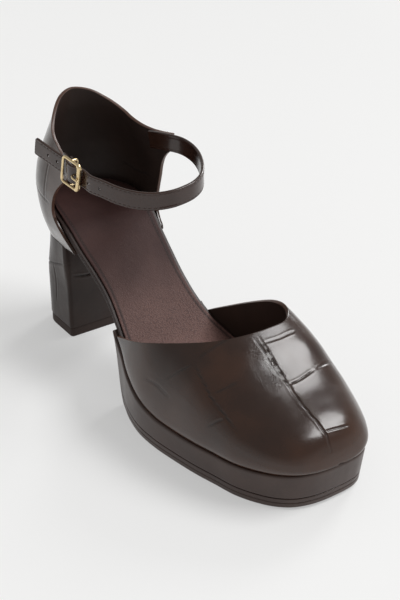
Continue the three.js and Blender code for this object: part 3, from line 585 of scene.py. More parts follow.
def dress(piece, node, slot, *materials, angle=38):
    """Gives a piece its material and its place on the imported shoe."""
    alone(piece)
    for material in materials:
        piece.data.materials.append(material)
    bpy.ops.object.shade_smooth_by_angle(angle=math.radians(angle))
    for name in ("pressed_shade", "cracked"):
        if name not in piece.data.attributes:
            mark(piece, name, np.zeros(len(piece.data.vertices)))
    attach(piece, "root")
    if node:
        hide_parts(node)
    print(piece.name, len(piece.data.polygons), "faces,",
          (np.ptp(points_of(piece), axis=0) / MM).round(1), "mm")


def walled(piece, outside, inside):
    """Thickens a skin inwards and softens the edges of the wall."""
    edited(piece, (bpy.ops.mesh.remove_doubles, {"threshold": 1e-7}))
    for material in (outside, edge_leather, inside):
        piece.data.materials.append(material)
    apply(piece, "SOLIDIFY", thickness=leather, offset=-1.0, use_even_offset=False,
          material_offset_rim=1, material_offset=2)
    apply(piece, "BEVEL", width=0.4 * MM, segments=2, limit_method="ANGLE",
          angle_limit=math.radians(55), use_clamp_overlap=True, material=1)


def outward(piece, centre):
    """Turns a skin so that its faces look away from centre."""
    facing = np.sum((points_of(piece) - centre) * normals_of(piece), axis=1)
    if facing.mean() < 0:
        edited(piece, (bpy.ops.mesh.flip_normals, {}))


def rounded(corners, radii, steps):
    """A closed outline with each corner turned by its own radius."""
    made, count = [], len(corners)
    corners = [np.array(c, float) for c in corners]
    for i, corner in enumerate(corners):
        before, after = corners[i - 1] - corner, corners[(i + 1) % count] - corner
        reach = min(radii[i], 0.49 * np.linalg.norm(before), 0.49 * np.linalg.norm(after))
        first = corner + before / max(np.linalg.norm(before), 1e-9) * reach
        last = corner + after / max(np.linalg.norm(after), 1e-9) * reach
        for t in np.linspace(0, 1, steps + 1):
            made.append((1 - t) ** 2 * first + 2 * t * (1 - t) * corner + t**2 * last)
    return made


print("helpers ready")

# %% [markdown]
# ## Creases drawn in the leather
# The hide is embossed with a scale pattern, but most of it was stretched flat over the last. What
# stays are a few pressed lines. Each is drawn as a short path in the shoe's own sizes, laid on the
# nearest leather, and pressed in as a soft trough with low lips beside it and painted shade in it.

# %% Pressed lines
def smoothed(line, rounds):
    """Evens out rows between the first and the last, in place."""
    for _ in range(rounds):
        line[1:-1] = (line[:-2] + 2 * line[1:-1] + line[2:]) / 4
    return line


def laid_on(path, skin_points):
    """The path, moved on to the skin's nearest points and smoothed."""
    near, made = 8, []
    for point in path:
        distance = np.sum((skin_points - point) ** 2, axis=1)
        nearest = np.argpartition(distance, near)[:near]
        weight = 1 / (distance[nearest] + (0.4 * MM) ** 2)
        made.append((skin_points[nearest] * weight[:, None]).sum(0) / weight.sum())
    return smoothed(np.array(made), 6)


def pressed_lines(piece, lines):
    """Presses lines (depth, width, points in mm) into a skin, and marks painted shade in each trough,
    darker where it is deeper.
    """
    points, normals = points_of(piece), normals_of(piece)
    move, dark = np.zeros(len(points)), np.zeros(len(points))
    steps = 160
    for depth, width, drawn in lines:
        path = even(spline(np.array(drawn, float) * MM, 60), steps) + shift
        path[:, 1] += np.sin(np.arange(steps + 1) * 0.37 + depth * 50) * 0.25 * MM
        path = laid_on(path, points)
        low, high = path.min(0) - 6 * MM, path.max(0) + 6 * MM
        close = np.flatnonzero(np.all((points > low) & (points < high), axis=1))
        gaps = np.linalg.norm(points[close, None] - path[None], axis=2)
        share, distance = gaps.argmin(1) / steps, gaps.min(1)
        taper = 0.15 + 0.85 * soft(np.clip(np.minimum(share, 1 - share) / 0.16, 0, 1))
        w = width * MM
        trough = np.exp(-(distance / w) ** 2)
        lips = np.exp(-((distance - 2.1 * w) / (1.1 * w)) ** 2)
        move[close] += depth * MM * taper * (0.32 * lips - trough)
        # painted shade: the middle of each trough is marked, and the paints darken the colour there
        trough_shade = taper * np.exp(-(distance / (0.8 * w)) ** 2) * min(depth / 0.34, 1)
        dark[close] = np.maximum(dark[close], trough_shade)
    set_points(piece, points + normals * move[:, None])
    mark(piece, "pressed_shade", dark)
    print(piece.name, len(lines), "pressed lines, deepest", round(-move.min() / MM, 2), "mm")


def eased(places, rounds):
    """Smooths a sheet inside its edges, so that its gloss has no breaks."""
    made = places.copy()
    for _ in range(rounds):
        smoothed(made, 1)
        smoothed(made.swapaxes(0, 1), 1)
    return made


def stations(start, end, count, both_ends):
    """Places along the foot, closer together towards the toe, or towards both of its ends."""
    t = np.linspace(0, 1, count + 1)
    share = (1 - np.cos(t * np.pi)) / 2 if both_ends else np.sin(t * np.pi / 2)
    return start + (end - start) * share


print("pressing tool ready")

# %% [markdown]
# ## The vamp
# The closed toe is one skin from its topline to the toe. Each of its columns runs from the topline
# forward to the toe, so the topline is a clean edge of the sheet. The wall is then thickened inwards,
# which gives the lining and the folded edge their own faces.

# %% Vamp tables: along, height, across, lateral fullness, medial fullness
VAMP = [
    (0.395, 1.460, 0.090, 1.80, 2.8), (0.525, 1.310, 0.100, 1.85, 2.9), (0.605, 1.190, 0.110, 1.95, 3.0),
    (0.645, 1.130, 0.120, 2.00, 3.1), (0.685, 1.070, 0.130, 2.15, 3.3), (0.720, 1.000, 0.140, 2.40, 3.5),
    (0.752, 0.940, 0.150, 2.70, 3.6), (0.784, 0.880, 0.150, 2.90, 3.6), (0.816, 0.810, 0.140, 3.00, 3.6),
    (0.848, 0.750, 0.140, 3.00, 3.5), (0.880, 0.695, 0.125, 2.90, 3.3), (0.913, 0.648, 0.115, 2.80, 3.1),
    (0.941, 0.608, 0.108, 2.70, 2.9), (0.964, 0.564, 0.102, 2.60, 2.7), (0.980, 0.510, 0.100, 2.50, 2.6),
    (0.991, 0.445, 0.098, 2.40, 2.5), (0.998, 0.380, 0.097, 2.30, 2.4), (1.000, 0.342, 0.097, 2.20, 2.2),
]
# along, height, on each side
TOPLINE_MEDIAL = [
    (0.436, 0.530), (0.450, 0.565), (0.470, 0.608), (0.500, 0.670), (0.550, 0.772), (0.600, 0.868),
    (0.640, 0.938), (0.672, 0.975), (0.700, 0.984), (0.724, 0.975), (0.741, 0.964),
]
TOPLINE_LATERAL = [
    (0.404, 0.502), (0.428, 0.558), (0.453, 0.602), (0.489, 0.658), (0.532, 0.719), (0.595, 0.806),
    (0.641, 0.863), (0.676, 0.903), (0.704, 0.933), (0.724, 0.951), (0.741, 0.962),
]
crown_height = curve(VAMP, 1, foot_length, instep_height)
crown_across = curve(VAMP, 2, foot_length, ball_width)
lateral_full = curve(VAMP, 3, foot_length, 1)
medial_full = curve(VAMP, 4, foot_length, 1)
vamp_tuck = 0.8 * MM
vamp_tuck_height = 7 * MM
vamp_bulge = 2.2 * MM


def vamp_point(x, across):
    """A point of the vamp's outside: across runs from 0 at the lateral edge to 1 at the medial."""
    low = lower_top(x) + gap
    crown = np.maximum(crown_height(x), low + 0.05 * MM)
    lateral = across < 0.5
    full = np.where(lateral, lateral_full(x), medial_full(x))
    end = np.where(lateral, -edge_lateral(x), edge_medial(x))
    sign = np.where(lateral, -1.0, 1.0)
    angle = np.where(lateral, across, 1 - across) * np.pi
    c, s = np.maximum(np.cos(angle), 0), np.sin(angle)
    reach = (c**full + s**full) ** (-1 / full)
    out, up = reach * c, reach * s
    z = low + (crown - low) * up
    swell = vamp_bulge * soft(np.clip((x / foot_length - 0.6) / 0.25, 0, 1))
    tuck = vamp_tuck * np.minimum((crown - low) / (12 * MM), 1)
    tuck = tuck * np.maximum(1 - (z - low) / vamp_tuck_height, 0) ** 2
    bulge = swell * np.sin(np.pi * np.clip((z - low) / (crown - low), 0, 1) ** 0.7)
    middle = crown_across(x)
    return np.stack([x, middle + (end - middle + sign * (bulge - tuck)) * out, z], axis=-1)


def topline_height(x, y):
    """The cut edge of the vamp, going from the lateral line to the medial one across the middle."""
    reach = 16 * MM
    share = soft(np.clip((y + reach) / (2 * reach), 0, 1))
    lateral, medial = (np.interp(x, rows[:, 0] * foot_length, rows[:, 1] * instep_height)
                       for rows in (np.array(TOPLINE_LATERAL), np.array(TOPLINE_MEDIAL)))
    front_end, rear_lateral, rear_medial = (
        row[0] * foot_length for row in (TOPLINE_MEDIAL[-1], TOPLINE_LATERAL[0], TOPLINE_MEDIAL[0]))
    # past its front and rear ends the line goes on steeply, so that each column meets it once
    steep = np.maximum(x - front_end, 0) * 80
    rear = np.maximum(rear_lateral + (rear_medial - rear_lateral) * share - x, 0) * 20
    return lateral * (1 - share) + medial * share + steep - rear


def vamp_start(across):
    """Where each column of the vamp meets the topline, found from the toe backwards."""
    places = np.linspace(0.39, 0.76, 900) * foot_length
    starts = []
    for a in across:
        p = vamp_point(places, np.full(len(places), a))
        above = p[:, 2] - topline_height(p[:, 0], p[:, 1])
        hit = np.flatnonzero(above > 0)
        if len(hit) == 0:
            starts.append(places[0])
            continue
        i = min(hit[-1], len(places) - 2)
        starts.append(places[i] + (places[i + 1] - places[i]) * above[i] / (above[i] - above[i + 1]))
    return np.array(starts)


# %% Lay the vamp
vamp_columns, vamp_rows = 168, 196
across = np.linspace(0, 1, vamp_columns + 1)
starts = smoothed(vamp_start(across), 8)
down = np.sin(np.linspace(0, 1, vamp_rows + 1) * np.pi / 2)
grid_x = starts[None] + (foot_length - starts[None]) * down[:, None]
places = vamp_point(grid_x, np.broadcast_to(across, grid_x.shape))
places[-1] = places[-1].mean(0)
places = eased(places, 5)
vamp = laid_sheet("vamp_skin", places)
outward(vamp, np.array([0.16, 0.0, 0.035]) + shift)
print("topline reaches", round(starts.max() / MM, 1), "mm from the heel")

# %% [markdown]
# The photograph shows about a dozen creases on the vamp. One runs down the middle of the crown, and
# the others cross it or follow the outer side. Each row below gives a line's depth, its width and
# its places, all in mm.

# %% Press the vamp's lines
VAMP_LINES = [
    (0.50, 0.52, [(183, 3, 67.5), (190, 3.2, 64), (198, 3, 59), (211, 2.6, 52), (225, 2.6, 46),
                  (240, 4, 39), (245, 3.6, 31)]),
    (0.34, 0.45, [(184, 0.8, 67.2), (192, 1.0, 63), (200, 0.6, 58), (208, 1.0, 54)]),
    (0.24, 0.55, [(189, 4.6, 65), (189.6, 12, 65), (189, 19, 64.8), (188, 25, 64)]),
    (0.34, 0.45, [(211, 2.6, 52), (211.4, 8, 52.4), (210.6, 14, 52.8), (209, 21, 53)]),
    (0.26, 0.50, [(239, 4.6, 39.6), (239.6, 11, 39), (240, 19, 37.6)]),
    (0.20, 0.60, [(209, 23, 53.6), (206.5, 29, 51), (204, 35, 48)]),
    (0.34, 0.55, [(176, -28, 59), (177.6, -20, 64), (179, -12, 67)]),
    (0.38, 0.65, [(174, -29, 58), (181, -31, 55), (188, -32, 52), (196, -33, 48), (204, -32, 44),
                  (214, -31, 39)]),
    (0.36, 0.55, [(166, -39, 46), (171, -35, 52), (175, -31, 56)]),
    (0.34, 0.55, [(195, -31, 50), (197.4, -26, 53), (199, -20, 55.4)]),
    (0.30, 0.55, [(200, -39, 36), (203, -36.6, 39.4), (206, -33.6, 42.4)]),
    (0.24, 0.70, [(150, -40, 38), (160, -42, 40), (172, -43, 38)]),
]
pressed_lines(vamp, VAMP_LINES)
vamp_points = (points_of(vamp) - shift) / MM
cracked = np.exp(-((vamp_points[:, 1] + 1.5) / 5.0) ** 2) * np.exp(-((vamp_points[:, 0] - 201) / 10.0) ** 4)
mark(vamp, "cracked", cracked * (vamp_points[:, 2] > 40))

# %% [markdown]
# The skin now becomes a wall with its lining inside. The topline is folded and paler, and the lowest
# edge is plain, because it is cemented under the board.

# %% Give the vamp its wall, lining and folded edge
def plain_foot(piece, height_of):
    """The lowest edge of a wall is cemented down, so it has no folded edge."""
    outside, rim = 0, 1
    centres = triples(piece.data.polygons, "center") - shift
    slots = np.empty(len(piece.data.polygons), np.int32)
    piece.data.polygons.foreach_get("material_index", slots)
    slots[(centres[:, 2] < height_of(centres[:, 0])) & (slots == rim)] = outside
    piece.data.polygons.foreach_set("material_index", slots)
    piece.data.update()


walled(vamp, vamp_leather, lining_leather)
plain_foot(vamp, lambda x: lower_top(x) + gap + 1.3 * MM)
dress(vamp, "vamp", "upper_leather", angle=50)

# %% [markdown]
# ## The heel cup
# The cup is drawn on an unrolled sheet, round against height, between its four edges: the collar, the
# rim on the heel and the two wings' curved fronts. The sheet is then rolled round the heel.

# %% Heel cup tables
# height, back, half width at the middle, lateral wing, medial wing, fullness
CUP = [
    (-0.101, 0.022, 0.289, 0.330, 0.295, 2.15), (-0.026, 0.015, 0.314, 0.357, 0.318, 2.15),
    (0.051, 0.008, 0.339, 0.380, 0.339, 2.15), (0.126, 0.002, 0.361, 0.395, 0.352, 2.15),
    (0.214, -0.005, 0.377, 0.402, 0.361, 2.15), (0.304, -0.011, 0.386, 0.405, 0.368, 2.15),
    (0.405, -0.015, 0.389, 0.402, 0.373, 2.15), (0.506, -0.015, 0.377, 0.395, 0.373, 2.15),
    (0.607, -0.011, 0.352, 0.382, 0.368, 2.1), (0.695, -0.006, 0.322, 0.368, 0.364, 2.0),
    (0.785, 0.000, 0.291, 0.357, 0.357, 1.9), (0.861, 0.006, 0.273, 0.352, 0.352, 1.75),
    (0.938, 0.010, 0.264, 0.347, 0.347, 1.65), (1.088, 0.018, 0.255, 0.341, 0.341, 1.6),
]
# along, height
COLLAR_MEDIAL = [
    (0.012, 1.000), (0.032, 0.982), (0.065, 0.921), (0.105, 0.855), (0.154, 0.805), (0.194, 0.796),
    (0.230, 0.805), (0.267, 0.822),
]
COLLAR_LATERAL = [
    (0.012, 1.000), (0.032, 0.967), (0.065, 0.881), (0.105, 0.794), (0.154, 0.739), (0.190, 0.721),
    (0.218, 0.739), (0.242, 0.769),
]
WING_FRONT_MEDIAL = [
    (0.267, 0.693), (0.251, 0.664), (0.230, 0.602), (0.213, 0.519), (0.201, 0.405), (0.193, 0.279),
    (0.192, 0.209), (0.196, 0.152), (0.210, 0.093), (0.232, 0.038),
]
WING_FRONT_LATERAL = [
    (0.242, 0.655), (0.222, 0.607), (0.202, 0.552), (0.177, 0.468), (0.161, 0.374), (0.153, 0.284),
    (0.155, 0.227), (0.167, 0.174), (0.187, 0.124), (0.208, 0.077), (0.232, 0.033),
]
cup_height = collar_height - heel_rim
cup_middle = 30 * MM
wing_reach = 42 * MM
unrolled = 90 * MM


def cup_column(column, scale):
    line = curve(CUP, column, cup_height, scale)
    return lambda z: line(z - heel_rim)


cup_back, cup_middle_width = cup_column(1, foot_length), cup_column(2, ball_width)
cup_lateral, cup_medial = cup_column(3, ball_width), cup_column(4, ball_width)
cup_full = cup_column(5, 1)


def cup_width(side, x, z):
    middle = cup_middle_width(z)
    share = np.maximum((x - cup_middle) / (36 * MM), 0)
    return middle + (np.where(side < 0, cup_lateral(z), cup_medial(z)) - middle) * share**1.3


def cup_point(turned, z):
    """From the unrolled sheet to the cup: turned is metres round from the back, lateral negative."""
    side, share = np.sign(turned), np.abs(turned) / unrolled
    power = 2 / cup_full(z)
    turn = np.clip(share * 2, 0, 1) * np.pi / 2
    x_round = cup_middle - (cup_middle - cup_back(z)) * np.maximum(np.cos(turn), 0) ** power
    x_side = cup_middle + (share - 0.5) * 2 * wing_reach
    behind = share < 0.5
    x = np.where(behind, x_round, x_side)
    y = np.where(behind, cup_middle_width(z) * np.sin(turn) ** power, cup_width(side, x_side, z))
    return np.stack([x, side * y, z], axis=-1)


def cup_turned(x, z):
    ratio = np.clip((cup_middle - x) / (cup_middle - cup_back(z)), 0, 1)
    back = np.arccos(ratio ** (cup_full(z) / 2)) / np.pi
    return unrolled * np.where(x < cup_middle, back, 0.5 + 0.5 * (x - cup_middle) / wing_reach)


def cup_line(table, side):
    """A side view line of the cup, on the unrolled sheet."""
    rows = np.array(table)
    x, z = rows[:, 0] * foot_length, heel_rim + rows[:, 1] * cup_height
    return np.stack([side * cup_turned(x, z), z], axis=1)


# %% Lay the heel cup between its four edges
def edge_line(points, count):
    return even(spline(np.column_stack([points, np.zeros(len(points))]), 600)[:, :2], count)


cup_columns, cup_rows = 300, 112
lateral_collar = cup_line(COLLAR_LATERAL, -1)
medial_collar = cup_line(COLLAR_MEDIAL, 1)
collar = edge_line(np.vstack([lateral_collar[:0:-1], [[0, collar_height]], medial_collar[1:]]),
                   cup_columns)
tail_x = WING_FRONT_MEDIAL[-1][0] * foot_length + 0.4 * MM
tail_start, tail_length = 38 * MM, 19 * MM
wing_fronts = []
for side, front, top in ((-1, WING_FRONT_LATERAL, lateral_collar), (1, WING_FRONT_MEDIAL, medial_collar)):
    tail_z = rim_height(tail_x) + wing_tail_lift
    tail = [[side * cup_turned(np.array(tail_x), np.array(tail_z)), tail_z]]
    rising = np.vstack([tail, cup_line(front, side)[::-1]])
    curved = edge_line(rising, 400)
    ending = curved[-1] + (top[-1] - curved[-1]) * np.linspace(0, 1, 60)[1:, None]
    wing_fronts.append(even(np.vstack([curved, ending]), cup_rows))
rim_turned = np.linspace(wing_fronts[0][0, 0], wing_fronts[1][0, 0], cup_columns + 1)
rim_z = np.full(cup_columns + 1, heel_rim)
for _ in range(3):
    rim_z = rim_height(cup_point(rim_turned, rim_z)[:, 0])
tail_share = np.clip((cup_point(rim_turned, rim_z)[:, 0] - tail_start) / tail_length, 0, 1)
rim_z = rim_z + wing_tail_lift * soft(tail_share)
rim = np.stack([rim_turned, rim_z], axis=1)
a = np.linspace(0, 1, cup_columns + 1)[None, :, None]
q = np.linspace(0, 1, cup_rows + 1)[:, None, None]
left, right = wing_fronts[0][:, None], wing_fronts[1][:, None]
corners = ((1 - a) * (1 - q) * rim[0] + a * (1 - q) * rim[-1]
           + (1 - a) * q * collar[0] + a * q * collar[-1])
unrolled_cup = (1 - q) * rim[None] + q * collar[None] + (1 - a) * left + a * right - corners
cup = laid_sheet("heel_cup_skin", eased(cup_point(unrolled_cup[..., 0], unrolled_cup[..., 1]), 3))
outward(cup, np.array([0.045, 0.0, 0.10]) + shift)
pressed_lines(cup, [
    (0.22, 0.6, [(12, -28, 98), (24, -34, 94), (36, -35, 92)]),
    (0.20, 0.6, [(30, -34.6, 92), (31, -32.6, 104), (31, -29, 116)]),
    (0.22, 0.6, [(12, 28, 96), (24, 33, 93), (40, 33, 95)]),
])
walled(cup, vamp_leather, cup_lining_leather)
plain_foot(cup, lambda x: np.where(x > 34 * MM, seat(x) + 1 * MM, rim_height(x) + 1.2 * MM))
dress(cup, "heel_cup", "upper_leather", angle=50)

# %% [markdown]
# ## The sole pieces
# The platform and outsole follow the plan of the last. Each is a stack of outlines, drawn in a little
# as it goes down, with rounded edges and one fine pressed line round the outsole.

# %% Platform and outsole
def tread_height(x):
    toe = np.maximum((x - 0.86 * foot_length) / (0.14 * foot_length), 0)
    rear = np.maximum((tread_rear - x) / (tread_rear - platform_rear), 0)
    return toe_spring * toe**2 + (lower_top(platform_rear) - 2 * waist_thickness) * rear**2


def outsole_top(x):
    return np.minimum(tread_height(x) * 0.86 + outsole_thickness, lower_top(x) - 1.4 * MM)


def fore_outline():
    """The plan of the forefoot: forward along the lateral side, and back along the medial one."""
    x = stations(platform_rear, foot_length, 170, both_ends=False)
    lateral = np.stack([x, -edge_lateral(x) - tread_edge], axis=1)
    medial = np.stack([x, edge_medial(x) + tread_edge], axis=1)
    return np.vstack([lateral, medial[::-1]])


def stacked(name, low_of, high_of, foot_round, top_round, groove=None, levels=18):
    """Outlines of the forefoot from low to high, drawn in downwards, with closed ends."""
    outline = fore_outline()
    ahead = np.roll(outline, -1, axis=0) - np.roll(outline, 1, axis=0)
    inward = np.stack([-ahead[:, 1], ahead[:, 0]], axis=1)
    inward[[0, -1]] = inward[[1, -2]]
    inward = smoothed(inward / np.linalg.norm(inward, axis=1)[:, None], 8)
    inward /= np.linalg.norm(inward, axis=1)[:, None]
    inward[:, 0] *= np.clip((outline[:, 0] - 0.18) / 0.04, 0, 1)
    x = outline[:, 0]
    low, high, top = low_of(x), high_of(x), lower_top(x)
    slope = platform_inset / (top - tread_height(x))
    foot = np.minimum(foot_round, (high - low) / 4)
    crown = np.minimum(top_round, (high - low) / 3)
    rings = []

    def ring(extra, z, towards_spine=0.0):
        drawn_in = (top - z) * slope + extra
        if groove is not None:
            place, width, depth = groove
            drawn_in = drawn_in + depth * np.exp(-((z - low - (high - low) * place) / width) ** 2)
        plan = outline + inward * drawn_in[:, None]
        plan = plan * (1 - towards_spine) + (plan + plan[::-1]) / 2 * towards_spine
        rings.append(np.column_stack([plan, z]))

    for share in (1.0, 0.6, 0.25):
        ring(foot, low, share)
    for turn in np.linspace(0, np.pi / 2, 6):
        ring(foot * (1 - np.sin(turn)), low + foot * (1 - np.cos(turn)))
    for share in np.linspace(0, 1, levels + 1)[1:-1]:
        ring(foot * 0, low + foot + (high - crown - low - foot) * share)
    for turn in np.linspace(0, np.pi / 2, 7):
        ring(crown * (1 - np.cos(turn)), high - crown * (1 - np.sin(turn)))
    for share in (0.25, 0.6, 1.0):
        ring(crown, high, share)
    return laid_roll(name, np.array(rings))


platform = stacked("platform_wrap", lambda x: outsole_top(x) + gap, lower_top, 0.6 * MM, 1.6 * MM)
dress(platform, "platform", "platform_wrap", wrap_leather)
outsole = stacked("outsole_tread", tread_height, outsole_top, 0.9 * MM, 0.5 * MM,
                  groove=(0.54, 0.28 * MM, 0.4 * MM), levels=40)
dress(outsole, "outsole", "outsole_rubber", wrap_leather)

# %% [markdown]
# The insole board and its sock follow the whole foot, from the heel seat down the waist to the toe.
# The board's covered edge has two ridges where its cover was pressed.

# %% Board, sock and waist
def foot_layer(name, inset, low_of, high_of, profile, dish=0.0, across=44):
    """Sections across the foot; profile is (drawn in, share of the height) up one side."""
    first, last = inset, insole_toe - inset
    x = stations(first, last, 300, both_ends=True)
    seen = (x - first) / (last - first) * insole_toe
    left, right = -edge_lateral(seen) + inset, edge_medial(seen) - inset
    middle, half_width = (left + right) / 2, np.maximum((right - left) / 2, 0.06 * MM)
    low, high = low_of(x), high_of(x)
    inner = np.linspace(-1, 1, across)[1:-1]
    rings = []
    for i in range(len(x)):
        narrow = min(1.0, half_width[i] / (3 * MM))
        side = [(half_width[i] - drawn * narrow, low[i] + (high[i] - low[i]) * share)
                for drawn, share in profile]
        flat, under = side[-1][0] - 0.02 * MM, side[0][0] - 0.02 * MM
        ring = [(-y, z) for y, z in side]
        ring += [(flat * v, high[i] - dish * narrow * (1 - v * v)) for v in inner]
        ring += [(y, z) for y, z in reversed(side)]
        ring += [(under * v, low[i]) for v in inner[::-4]]
        rings.append([(x[i], middle[i] + y, z) for y, z in ring])
    return laid_roll(name, np.array(rings))


def round_side(height, radius, ridges=()):
    """Profile of a side with rounded corners, and shallow grooves between its ridges."""
    r = radius / height
    made = [(radius * (1 - math.sin(t)), r * (1 - math.cos(t)))
            for t in np.linspace(0, math.pi / 2, 5)]
    for share in np.linspace(r, 1 - r, 17)[1:-1]:
        made.append((sum(depth * math.exp(-((share - at) / 0.055) ** 2) for at, depth in ridges), share))
    made += [(radius * (1 - math.cos(t)), 1 - r * (1 - math.sin(t)))
             for t in np.linspace(0, math.pi / 2, 6)]
    return made


board = foot_layer("covered_board", insole_inset, lambda x: board_top(x) - board_thickness, board_top,
                   round_side(board_thickness, 0.5 * MM, [(0.36, 0.28 * MM), (0.66, 0.28 * MM)]))
dress(board, "insole_board", "board_cover", board_leather)
sock_inset = insole_inset + 2.2 * MM
sewn = 2.3 * MM
sock = foot_layer("sock_lining_skin", sock_inset, lambda x: seat(x) - sock_thickness, seat,
                  round_side(sock_thickness, 0.42 * MM), dish=0.3 * MM, across=110)
sock_points = points_of(sock) - shift
beside = np.minimum(edge_lateral(sock_points[:, 0]) + sock_points[:, 1],
                    edge_medial(sock_points[:, 0]) - sock_points[:, 1]) - sock_inset
# painted shade: the sock is marked darker along the sewn line, where its seam sinks in
mark(sock, "pressed_shade", np.exp(-((beside - sewn) / (0.7 * MM)) ** 2) * 0.85)
dress(sock, "sock_lining", "sock", sock_leather)

waist_x = np.linspace(heel_base * breast_top + gap, platform_rear - gap, 90)
waist_inset, waist_rings = insole_inset + 0.3 * MM, []
for x in waist_x:
    left, right = -edge_lateral(x) + waist_inset, edge_medial(x) - waist_inset
    high, low = lower_top(x), lower_top(x) - waist_thickness
    bend = high - 0.6 * MM
    turned = rounded([(left + MM, low), (left, bend), (left, high), (right, high), (right, bend),
                      (right - MM, low)], [r * MM for r in (0.5, 0.5, 0.1, 0.1, 0.5, 0.5)], 3)
    waist_rings.append([(x, y, z) for y, z in turned])
waist = laid_roll("waist_sole_skin", np.array(waist_rings))
dress(waist, "waist_sole", "outsole_rubber", tread_rubber)

# %% [markdown]
# ## The heel
# The block has a round back, straight sides and a flat breast. Its cover is one wrapped hide, so the
# pressed scale lines run round it.

# %% Heel block and tip
# rise, back, half width, breast
HEEL = [
    (0.00, 0.008, 0.284, 1.00), (0.40, 0.009, 0.289, 1.00), (0.75, 0.010, 0.297, 1.01),
    (1.00, 0.012, 0.306, 1.03),
]
heel_seat_share = HEEL[-1][3]
ring_steps = 110
heel_back, heel_side = curve(HEEL, 1, 1, foot_length), curve(HEEL, 2, 1, ball_width)
heel_breast = curve(HEEL, 3, 1, heel_base)


def breast_half(breast, width):
    """The heel's plan from the middle of its breast out and round the corner."""
    flat = [(breast, v) for v in np.linspace(0, width - heel_corner, 26)]
    return flat + [(breast - heel_corner * (1 - math.cos(t)), width - heel_corner * (1 - math.sin(t)))
                   for t in np.linspace(0, math.pi / 2, 7)[1:]]


def cup_rim_side(side):
    """Half the plan of the cup's lower edge, from the breast's middle to the back."""
    breast, drawn_in = heel_base * heel_seat_share, 0.25 * MM
    rim_level = np.array(heel_rim - 1.0 * MM)
    width = float(cup_width(side, np.array(breast), rim_level)) - drawn_in
    half = breast_half(breast, width)
    for x in np.linspace(breast - heel_corner, cup_middle, 14)[1:-1]:
        half.append((x, float(cup_width(side, x, rim_level)) - drawn_in))
    power, back = 2 / float(cup_full(rim_level)), float(cup_back(rim_level)) + drawn_in
    middle = float(cup_middle_width(rim_level)) - drawn_in
    for turn in np.linspace(math.pi / 2, 0, 60):
        half.append((cup_middle - (cup_middle - back) * max(math.cos(turn), 0) ** power,
                     middle * max(math.sin(turn), 0) ** power))
    return even(np.array(half), ring_steps)


cup_rim_sides = [cup_rim_side(-1), cup_rim_side(1)]


def heel_ring(rise, inset, breast, height_at):
    """A level of the block; where the block meets the cup, its plan becomes that of the cup's rim."""
    back, foot_share = float(heel_back(rise)) + inset, heel_base_width / (2 * float(heel_side(0.0)))
    width = float(heel_side(rise)) * (foot_share * (1 - rise) + rise) - inset
    half = breast_half(breast, width)
    half += [(x, width) for x in np.linspace(breast - heel_corner, heel_middle, 24)[1:-1]]
    for turn in np.linspace(math.pi / 2, 0, 46):
        half.append((heel_middle - (heel_middle - back) * math.cos(turn) ** 0.8,
                     width * max(math.sin(turn), 0) ** 0.8))
    sides = [even(np.array(half), ring_steps)] * 2
    if inset < heel_plug:
        met = soft(np.clip((rise - 0.45) / 0.55, 0, 1))
        sides = [own * (1 - met) + cup_side * met for own, cup_side in zip(sides, cup_rim_sides)]
    around = np.vstack([sides[0] * [1, -1], sides[1][-2:0:-1]])
    return np.column_stack([around, height_at(around[:, 0])])


tip_top = heel_tip_thickness + gap
block_rings = []
for rise, inset in ([(0.0, 0.5), (0.003, 0.2), (0.009, 0.0)]
                    + [(r, 0.0) for r in np.linspace(0.015, 0.985, 88)] + [(0.993, 0.06), (1.0, 0.35)]):
    block_rings.append(heel_ring(rise, inset * MM, float(heel_breast(rise)),
                                 lambda x: tip_top + (rim_height(x) - gap - tip_top) * rise))
block_rings.append(heel_ring(1.0, heel_plug, float(heel_breast(1.0)), lambda x: rim_height(x) - gap))
for share in np.linspace(0, 1, 8)[1:]:
    breast = float(heel_breast(1.0)) * (1 - share) + heel_base * breast_top * share
    block_rings.append(heel_ring(1.0, heel_plug, breast,
                                 lambda x: (rim_height(x) - gap) * (1 - share) + lower_top(x) * share))
block = laid_roll("heel_block_cover", np.array(block_rings))
pressed_lines(block, [
    (0.42, 0.65, [(38.6, -23, 43), (38.8, -13, 40.6), (38.8, 0, 41.4), (38.8, 12, 42.6), (38.8, 22, 43)]),
    (0.34, 0.65, [(3, -14, 38), (8, -21, 40), (16, -25.4, 43), (28, -25.4, 47.5), (38, -25, 51.5)]),
    (0.34, 0.60, [(39, 22, 61), (38.8, 21.4, 47), (38.6, 21, 33)]),
    (0.30, 0.60, [(38.8, 3, 45), (38.7, 1, 34), (38.6, -1, 21)]),
    (0.34, 0.65, [(38.6, 24.6, 44), (28, 25.4, 42), (16, 25.2, 40), (6, 19, 39)]),
    (0.26, 0.60, [(20, 25.4, 60), (19, 25.4, 50), (18, 25.4, 41)]),
    (0.26, 0.60, [(22, -25.4, 46), (23, -25.2, 33), (22, -25, 18)]),
])
dress(block, "heel_block", "heel_cover", shaded_heel_leather, angle=42)
tip_rings = []
for z, inset in ([(0.0, 1.1), (0.15, 0.75), (0.4, 0.5), (0.7, 0.4)]
                 + [(z, 0.4) for z in np.linspace(1.2, 5.5, 8)] + [(5.8, 0.46), (6.0, 0.7)]):
    breast = float(heel_breast(0.0)) - inset * MM
    tip_rings.append(heel_ring(0.0, inset * MM, breast, lambda x: x * 0 + z * MM))
tip = laid_roll("heel_tip_piece", np.array(tip_rings))
dress(tip, "heel_tip", "heel_tip_rubber", tip_rubber)

# %% [markdown]
# ## The ankle strap
# The strap is one long band standing on edge. It leaves the medial wing, goes round the front of the
# ankle, through the buckle and over its own middle bar, and ends as a free tail.

